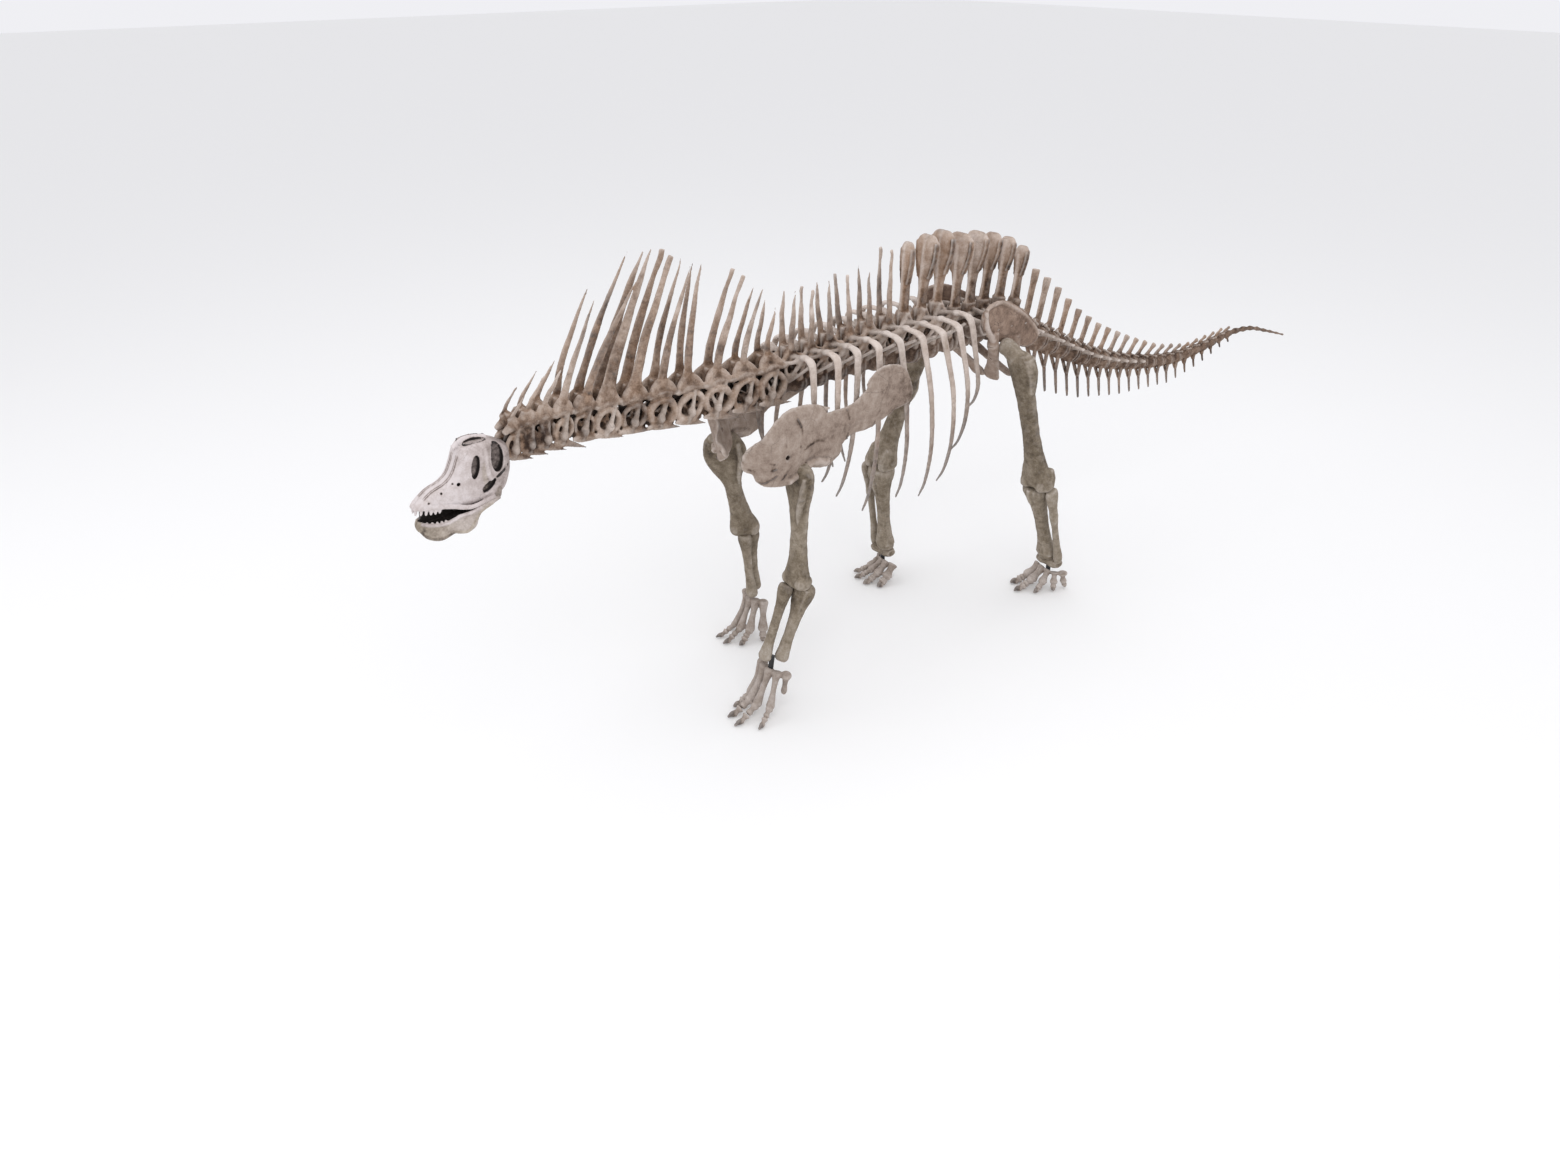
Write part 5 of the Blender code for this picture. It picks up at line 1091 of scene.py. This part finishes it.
# x, lower z, upper z, distance from the mid-plane
HIP_BLADE = [(0.985, 2.050, 2.120, 0.262), (1.030, 1.970, 2.138, 0.252), (1.090, 1.905, 2.145, 0.244),
             (1.160, 1.872, 2.142, 0.238), (1.260, 1.835, 2.095, 0.232), (1.390, 1.795, 2.020, 0.226),
             (1.500, 1.762, 1.925, 0.222), (1.560, 1.790, 1.855, 0.220)]
for side_name, side in (("left", -1.0), ("right", 1.0)):
    clay = new_clay()
    loft(clay, [(x, side * y, (low + high) / 2, 0.019, (high - low) / 2) for x, low, high, y in HIP_BLADE],
         sides=24, steps=4, tone=0.44, warm=0.85)
    face = side * 0.012
    rim = [(x, side * y + face, high - 0.012, 0.016, 0.013) for x, low, high, y in HIP_BLADE]
    loft(clay, rim, sides=10, tone=0.62, warm=0.6)
    loft(clay, [(0.990, side * 0.262 + face, 2.10, 0.014, 0.014),
                (1.000, side * 0.256 + face, 2.02, 0.016, 0.016),
                (1.045, side * 0.246 + face, 1.95, 0.018, 0.018),
                (1.100, side * 0.240 + face, 1.89, 0.022, 0.024)], sides=10, tone=0.86, warm=0.1)
    loft(clay, mirrored(side, [(1.115, 0.240, 1.94, 0.030, 0.036), (1.112, 0.238, 1.88, 0.034, 0.040),
                (1.112, 0.236, 1.847, 0.036, 0.036)]), tone=0.56, warm=0.5)
    loft(clay, mirrored(side, [(1.335, 0.230, 1.88, 0.026, 0.034), (1.345, 0.227, 1.82, 0.032, 0.034),
                (1.346, 0.226, 1.792, 0.032, 0.030)]), tone=0.5, warm=0.5)
    scoop(clay, mirrored(side, [(1.228, 0.12, 1.800, 0.062, 0.058), (1.228, 0.35, 1.800, 0.062, 0.058)]),
          across=ALONG, sides=20)
    cast("ilium_" + side_name, clay, 0.005, BLADE_PAINT, coarse=0.007)

    clay = new_clay()
    loft(clay, mirrored(side, [(1.115, 0.236, 1.860, 0.034, 0.046), (1.16, 0.21, 1.78, 0.038, 0.030),
                (1.27, 0.12, 1.65, 0.046, 0.020), (1.335, 0.062, 1.56, 0.060, 0.024),
                (1.35, 0.055, 1.53, 0.052, 0.018)]), sides=16, steps=4, tone=0.56, warm=0.5)
    scoop(clay, mirrored(side, [(1.15, 0.16, 1.735, 0.014), (1.22, 0.24, 1.765, 0.014)]), across=ALONG)
    scoop(clay, [(1.34, -side * 0.10, 1.50, 0.0995, 0.4), (1.34, -side * 0.10, 1.72, 0.0995, 0.4)], sides=4)
    cast("pubis_" + side_name, clay, 0.005, BLADE_PAINT, coarse=0.006)

    clay = new_clay()
    loft(clay, mirrored(side, [(1.345, 0.226, 1.800, 0.030, 0.040), (1.38, 0.20, 1.74, 0.030, 0.032),
                (1.49, 0.10, 1.61, 0.017, 0.027), (1.60, 0.034, 1.50, 0.025, 0.024),
                (1.65, 0.026, 1.47, 0.020, 0.018)]), sides=14, steps=4, tone=0.5, warm=0.4)
    cast("ischium_" + side_name, clay, 0.005, BLADE_PAINT, coarse=0.005)

# Tail. Thirty vertebrae that shrink to a whip, with square-topped spines, side wings near the hips,
# and a forked bone hanging below each joint. Cast in four lengths on one hidden rod.
TAIL_START = HIP_START + 4.5 * HIP_STEP
TAIL_END = 5.15
TAIL_COUNT = 30
TAIL_LENGTHS = {"tail_base": 8, "tail_middle": 8, "tail_rear": 7, "tail_tip": 7}
# (x, height) of the tops of the spines, and of the ends of the forked bones
TAIL_CREST = [(1.60, 2.33), (1.76, 2.21), (1.99, 2.07), (2.27, 1.84), (2.57, 1.66),
              (2.96, 1.49), (3.32, 1.355), (3.70, 1.285), (4.20, 1.325), (4.60, 1.29)]
TAIL_KEEL = [(1.98, 1.28), (2.34, 1.15), (2.85, 1.06), (3.53, 1.01), (3.93, 1.09),
             (4.26, 1.19), (4.60, 1.20)]
TAIL_SPINES = 22
TAIL_WINGS = 12


def tail_vertebra(clay, i, start, finish):
    """Adds one tail vertebra and the forked bone under it."""
    x, h = (start + finish) / 2, (finish - start) / 2
    r = on_table(BODY_RADIUS, x)
    fade = i / TAIL_SPINES
    body(clay, x, r,
         [(-h - 0.002, 0.84, 0.84), (-h * 0.84, 1.0, 1.0), (-h * 0.4, 0.78, 0.78), (0.0, 0.70, 0.70),
          (h * 0.4, 0.78, 0.78), (h * 0.84, 1.0, 1.0), (h + 0.002, 0.84, 0.84)], sides=14, tone=0.38,
         warm=0.5)
    if i >= TAIL_SPINES:
        return

    def spot(up, along, out):
        """Place on this side of the vertebra, in shares of its radius and its half length."""
        return at(x, up=r * up, along=h * along, side=side * r * out)

    lean = 0.13 - 0.07 * fade
    tip = Vector((x + lean, 0.0, on_table(TAIL_CREST, x + lean)))
    half = 0.040 - 0.026 * fade
    base = at(x, up=r * 1.5, along=0.01)
    loft(clay, [(at(x, up=r * 0.5), r * 0.42, half * 1.1), (at(x, up=r * 1.1), r * 0.30, half),
                (base, 0.015 - 0.008 * fade, half * 0.70),
                (base.lerp(tip, 0.5), 0.015 - 0.008 * fade, half * 0.62),
                (base.lerp(tip, 0.85), 0.022 - 0.012 * fade, half * 0.82),
                (tip, 0.020 - 0.012 * fade, half * 0.84)], sides=12,
         tone=(0.30, CHANCE.uniform(0.4, 0.6), CHANCE.uniform(0.5, 0.85)), warm=CHANCE.uniform(0.4, 0.95))
    for ahead in (-1, 1):
        loft(clay, [(base + ALONG * ahead * half * 0.6, 0.007),
                    (base.lerp(tip, 0.9) + ALONG * ahead * half * 0.66, 0.006)], sides=8, tone=0.66,
             warm=0.7)
    for side in (-1, 1):
        front = spot(1.15, -1.1, 0.34)
        strut(clay, spot(0.9, -0.2, 0.3), front, max(0.0055, r * 0.10), tone=0.62)
        strut(clay, spot(1.1, 0.0, 0.2), spot(1.12, 0.8, 0.22),
              max(0.005, r * 0.09), tone=0.45)
        if i < TAIL_WINGS:
            reach = r + 0.085 * (1 - i / TAIL_WINGS) + 0.01
            loft(clay, [(spot(0.30, 0.0, 0.5), 0.032, 0.022),
                        (at(x, up=r * 0.38, side=side * r), 0.022, 0.013),
                        (at(x, up=r * 0.42, side=side * reach), 0.017, 0.009)], across=ALONG,
                 tone=(0.5, 0.8))
    foot_x = x + 0.075
    if foot_x > TAIL_KEEL[0][0] - 0.12:
        low = Vector((foot_x, 0.0, on_table(TAIL_KEEL, foot_x)))
        thick = 0.0125 - 0.0045 * fade
        fork = at(x + 0.03, up=-r * 0.5).lerp(low, 0.42)
        for side in (-1, 1):
            loft(clay, [(at(x + 0.03, up=-r * 0.55, side=side * r * 0.45), thick * 1.3, thick * 1.2),
                        (fork + ACROSS * side * 0.004, thick, thick * 1.1)], sides=8, tone=(0.42, 0.30),
                 warm=0.7)
        loft(clay, [(fork + UP * 0.01, thick * 0.9, thick * 1.3),
                    (fork.lerp(low, 0.6), thick * 0.62, thick * 1.2), (low, thick * 0.5, thick * 0.9)],
             sides=8, tone=(0.34, CHANCE.uniform(0.0, 0.3)), warm=0.7)


shrink = [0.992**i for i in range(TAIL_COUNT)]
tail_joints = [TAIL_START]
for length in shrink:
    tail_joints.append(tail_joints[-1] + length * (TAIL_END - TAIL_START) / sum(shrink))
first = 0
for name, count in TAIL_LENGTHS.items():
    clay = new_clay()
    for i in range(first, first + count):
        tail_vertebra(clay, i, tail_joints[i], tail_joints[i + 1])
    first += count
    cast(name, clay, 0.0045 if name in ("tail_base", "tail_middle") else 0.0030, SPINE_PAINT,
         coarse=0.003 if name != "tail_tip" else 0.001, fine=0.0016 if name != "tail_tip" else 0.0006,
         keep=0.8)

# Skull and jaw. A long low snout with a squared muzzle of peg teeth, nostrils on top of the head, and
# tall eye openings, shallow pockets whose dark wall and grey floor are painted shade. Thin resin cast, the
# palest part of the mount, open mouthed.
HEAD_PAINT = bone_paint("matte_acrylic_on_resin_head",
                        ["#1d1816", "#4b423f", "#877b76", "#ada19d", "#c3b8b5", "#d5cccb"],
                        ["#1d1816", "#4f463c", "#8b8070", "#aea28f", "#c4bba9", "#d6cfc0"], 0.4,
                        hollow_shade_and_crack="#2b2422", drybrush_and_highlight="#e4dcda")
# x, lower z, upper z, half width
SKULL = [(-2.738, 1.716, 1.728, 0.032), (-2.708, 1.716, 1.752, 0.052), (-2.645, 1.710, 1.796, 0.064),
         (-2.585, 1.699, 1.818, 0.071), (-2.542, 1.688, 1.852, 0.076), (-2.512, 1.678, 1.914, 0.079),
         (-2.492, 1.672, 1.976, 0.082), (-2.462, 1.670, 2.008, 0.088), (-2.41, 1.676, 2.016, 0.096),
         (-2.34, 1.688, 2.000, 0.104), (-2.28, 1.722, 1.974, 0.097), (-2.24, 1.790, 1.952, 0.066)]
SKULL_SQUARENESS = 0.80
TEETH_PER_SIDE = 6
TOOTH_PITCH = 0.021
# openings in each side wall: x, z, half length and half height, slope of the length, depth of the floor
EYE_SOCKET = (-2.322, 1.914, 0.036, 0.076, 0.0, 0.066)
SNOUT_OPENING = (-2.436, 1.890, 0.021, 0.061, -0.17, 0.069)
CHEEK_OPENING = (-2.372, 1.782, 0.046, 0.019, 0.90, 0.080)
# nerve holes: x, z, radius
NERVE_HOLES = [(-2.523, 1.817, 0.0105), (-2.549, 1.825, 0.0055), (-2.610, 1.816, 0.0070),
               (-2.635, 1.788, 0.0050), (-2.675, 1.758, 0.0050), (-2.583, 1.776, 0.0045)]


def skull_roof(x, y):
    """Height of the top of the skull at (x, y)."""
    table = smooth_rows([(px, low, high, half) for px, low, high, half in SKULL], 5)
    low, high, half = (np.interp(x, table[:, 0], table[:, k]) for k in (1, 2, 3))
    angles = np.linspace(math.pi / 2, 0.0, 40)
    sines, cosines = np.sin(angles), np.cos(angles)
    swell = 1 - SKULL_SQUARENESS + SKULL_SQUARENESS / (sines**4 + cosines**4)**0.25
    return (low + high) / 2 + (high - low) / 2 * np.interp(abs(y) / half, cosines * swell, sines * swell)


def tooth_place(i, side, front, inner, widening):
    """Place (x, y) of tooth i, counted from the front, on the rounded end of the muzzle."""
    return front + TOOTH_PITCH * i, side * (inner + widening * (1 - (1 - i / (TEETH_PER_SIDE - 1))**2))


clay = new_clay()
loft(clay, [(x, 0.0, (low + high) / 2, half, (high - low) / 2) for x, low, high, half in SKULL], sides=40,
     steps=5, tone=(0.92, 1.0, 0.98, 0.84, 0.70, 0.56), square=SKULL_SQUARENESS, facing=ALONG)
# the narrow bar between the nostrils, and the low swelling of the snout above the teeth
loft(clay, [(-2.512, 0.0, 1.980, 0.016, 0.012), (-2.46, 0.0, 2.010, 0.010, 0.014),
            (-2.40, 0.0, 2.012, 0.010, 0.012), (-2.335, 0.0, 2.000, 0.022, 0.010)], tone=1.0)
for side in (-1, 1):
    loft(clay, mirrored(side, [(-2.72, 0.038, 1.726, 0.008, 0.010), (-2.655, 0.062, 1.728, 0.008, 0.012),
                (-2.575, 0.072, 1.714, 0.008, 0.012), (-2.47, 0.087, 1.690, 0.009, 0.013),
                (-2.40, 0.095, 1.706, 0.009, 0.012), (-2.345, 0.100, 1.722, 0.009, 0.012)]),
         tone=(1.0, 0.95, 0.8, 0.55))
    # stained patch of the cheek
    knob(clay, (-2.390, side * 0.0975, 1.850), (0.016, 0.005, 0.060), tone=0.66, warm=0.3, along=ALONG)
    # quadrate peg that the jaw hangs from
    loft(clay, mirrored(side, [(-2.318, 0.084, 1.780, 0.014, 0.020), (-2.322, 0.087, 1.735, 0.014, 0.020),
                (-2.324, 0.087, 1.706, 0.013, 0.017)]), tone=0.5, warm=0.3)
    # rims in front of the eye socket and behind it, and the cheek bar below
    loft(clay, mirrored(side, [(-2.380, 0.082, 1.970, 0.008, 0.009), (-2.382, 0.100, 1.90, 0.009, 0.009),
                (-2.372, 0.104, 1.835, 0.009, 0.010), (-2.345, 0.105, 1.790, 0.009, 0.009)]),
         tone=0.88)
loft(clay, [(-2.30, 0.0, 1.89, 0.052, 0.050), (-2.26, 0.0, 1.895, 0.044, 0.044),
            (-2.232, 0.0, 1.90, 0.034, 0.034)], tone=0.5)
OPENING_INSIDE_SHADES = ((EYE_SOCKET, 0.34), (SNOUT_OPENING, 0.38), (CHEEK_OPENING, 0.24))
for side in (-1, 1):
    for (x, z, length, height, slope, floor), inside_shade_tone in OPENING_INSIDE_SHADES:
        turn = (ALONG + UP * slope).normalized()
        scoop(clay, [(x, side * 0.16, z, length, height),
                     (x, side * floor, z, length * 0.94, height * 0.96)], across=turn, sides=24, steps=1)
        # the wall of the opening, painted dark as shade, and a grey disc at its floor, painted as its
        # shaded inside
        loft(clay, [(x, side * (floor + 0.014), z, length, height * 0.98),
                    (x, side * (floor - 0.012), z, length, height * 0.98)], across=turn, steps=1, sides=20,
             tone=-0.8)
        loft(clay, [(x, side * floor, z, length * 0.84, height * 0.90),
                    (x, side * (floor - 0.006), z, length * 0.84, height * 0.90)], across=turn, steps=1,
             sides=20, tone=inside_shade_tone, warm=0.5 if slope > 0.5 else 0.0)
    # nostril on top of the head, a shallow pocket with a dark ring and a disc low down, painted as its
    # shaded inside
    scoop(clay, mirrored(side, [(-2.414, 0.036, 2.09, 0.024, 0.062), (-2.414, 0.036, 2.001, 0.023, 0.058)]),
          sides=24, steps=1)
    loft(clay, mirrored(side, [(-2.414, 0.036, 2.008, 0.024, 0.060), (-2.414, 0.036, 1.984, 0.024, 0.060)]),
         sides=20, steps=1, tone=-0.8)
    loft(clay, mirrored(side, [(-2.414, 0.036, 2.001, 0.020, 0.053), (-2.414, 0.036, 1.996, 0.020, 0.053)]),
         sides=20, steps=1, tone=0.55)
    for x, z, radius in NERVE_HOLES:
        z = min(z, skull_roof(x, 0.056) - 0.010)
        scoop(clay, [(x, side * 0.12, z, radius), (x, side * 0.052, z, radius * 0.9)], across=ALONG,
              sides=10, steps=1)
        # a dark disc deep in each hole, painted shade
        loft(clay, [(x, side * 0.056, z, radius), (x, side * 0.044, z, radius)], across=ALONG, sides=8,
             steps=1, tone=-0.5)
    # paired grooves of the snout roof, and the dark seam from the cheek opening up behind the eye
    for y, radius in ((0.020, 0.0019), (0.034, 0.0024)):
        loft(clay, [(x, side * y, skull_roof(x, y) + 0.0004, radius)
                    for x in np.linspace(-2.69, -2.478, 9)], sides=6, steps=2, tone=0.22)
    loft(clay, mirrored(side, [(-2.335, 0.1040, 1.818, 0.0030), (-2.300, 0.1025, 1.838, 0.0050),
                (-2.262, 0.086, 1.864, 0.0030)]), sides=6, tone=-0.6)
    # upper peg teeth, round the front of the muzzle
    for i in range(TEETH_PER_SIDE):
        x, y = tooth_place(i, side, -2.726, 0.016, 0.044)
        loft(clay, [(x + 0.002, y, 1.730, 0.0080), (x, y, 1.716, 0.0088), (x - 0.003, y, 1.700, 0.0080),
                    (x - 0.005, y, 1.689, 0.0046)], sides=8, tone=2.6)
cast("skull", clay, 0.0034, HEAD_PAINT, coarse=0.003, fine=0.0014)

# Lower jaw. Two thin boards that meet in a rounded chin, with thicker upper and lower borders and a
# deep corner behind. Resin cast in the same pale paint, hung open from a peg under each cheek.
# x, y, lower z, upper z
JAW = [(-2.316, 0.086, 1.690, 1.726), (-2.36, 0.090, 1.676, 1.710), (-2.42, 0.089, 1.650, 1.688),
       (-2.455, 0.088, 1.614, 1.675), (-2.488, 0.086, 1.564, 1.669), (-2.53, 0.083, 1.564, 1.667),
       (-2.562, 0.080, 1.574, 1.655), (-2.595, 0.075, 1.562, 1.644), (-2.63, 0.066, 1.549, 1.641),
       (-2.675, 0.050, 1.560, 1.645), (-2.706, 0.024, 1.592, 1.650), (-2.716, 0.0, 1.600, 1.651)]
clay = new_clay()
for side in (-1, 1):
    loft(clay, [(x, side * y, (low + high) / 2, (high - low) / 2, 0.0125) for x, y, low, high in JAW],
         across=UP, sides=20, steps=5, tone=(0.60, 0.74, 0.66, 0.50), warm=(0.2, 0.3, 0.9))
    loft(clay, [(x, side * (y + 0.003), high - 0.008, 0.008, 0.0115) for x, y, low, high in JAW[2:-1]],
         across=UP, sides=10, tone=(0.80, 0.90, 0.70))
    loft(clay, [(x, side * (y + 0.003), low + 0.010, 0.010, 0.0115) for x, y, low, high in JAW[1:-1]],
         across=UP, sides=10, tone=(0.55, 0.62, 0.45, 0.35), warm=0.7)
    # low stumps of the lower teeth
    for i in range(TEETH_PER_SIDE):
        x, y = tooth_place(i, side, -2.704, 0.022, 0.046)
        loft(clay, [(x, y, 1.634, 0.0070), (x, y, 1.646, 0.0066), (x, y, 1.650, 0.0036)], sides=8, tone=0.9)
# the inside of the open mouth is painted shade: a dark sheet between the two boards, and one upright on it
loft(clay, [(-2.690, 0.0, 1.628, 0.034, 0.008), (-2.62, 0.0, 1.624, 0.064, 0.010),
            (-2.54, 0.0, 1.640, 0.078, 0.012), (-2.44, 0.0, 1.654, 0.086, 0.010),
            (-2.38, 0.0, 1.676, 0.086, 0.008)], sides=24, tone=-0.9)
loft(clay, [(-2.706, 0.0, 1.672, 0.006, 0.038), (-2.64, 0.0, 1.664, 0.006, 0.040),
            (-2.56, 0.0, 1.654, 0.006, 0.032), (-2.47, 0.0, 1.650, 0.006, 0.016)], tone=-0.9)
cast("jaw", clay, 0.0034, HEAD_PAINT, coarse=0.003, fine=0.0014)

# Pins at the wrists and ankles. Short round bars that hold the feet to the limbs. Steel, turned, with
# a thin satin black paint.
pin_paint, _, pin_shader = new_paint("satin_black_paint_on_steel")
pin_shader.inputs["Base Color"].default_value = linear("#1b1b1d")
pin_shader.inputs["Roughness"].default_value = 0.42
for name in ("stand_pin_wrist_left", "stand_pin_wrist_right", "stand_pin_ankle_left",
             "stand_pin_ankle_right"):
    for slot in bpy.data.objects[name].material_slots:
        slot.material = pin_paint
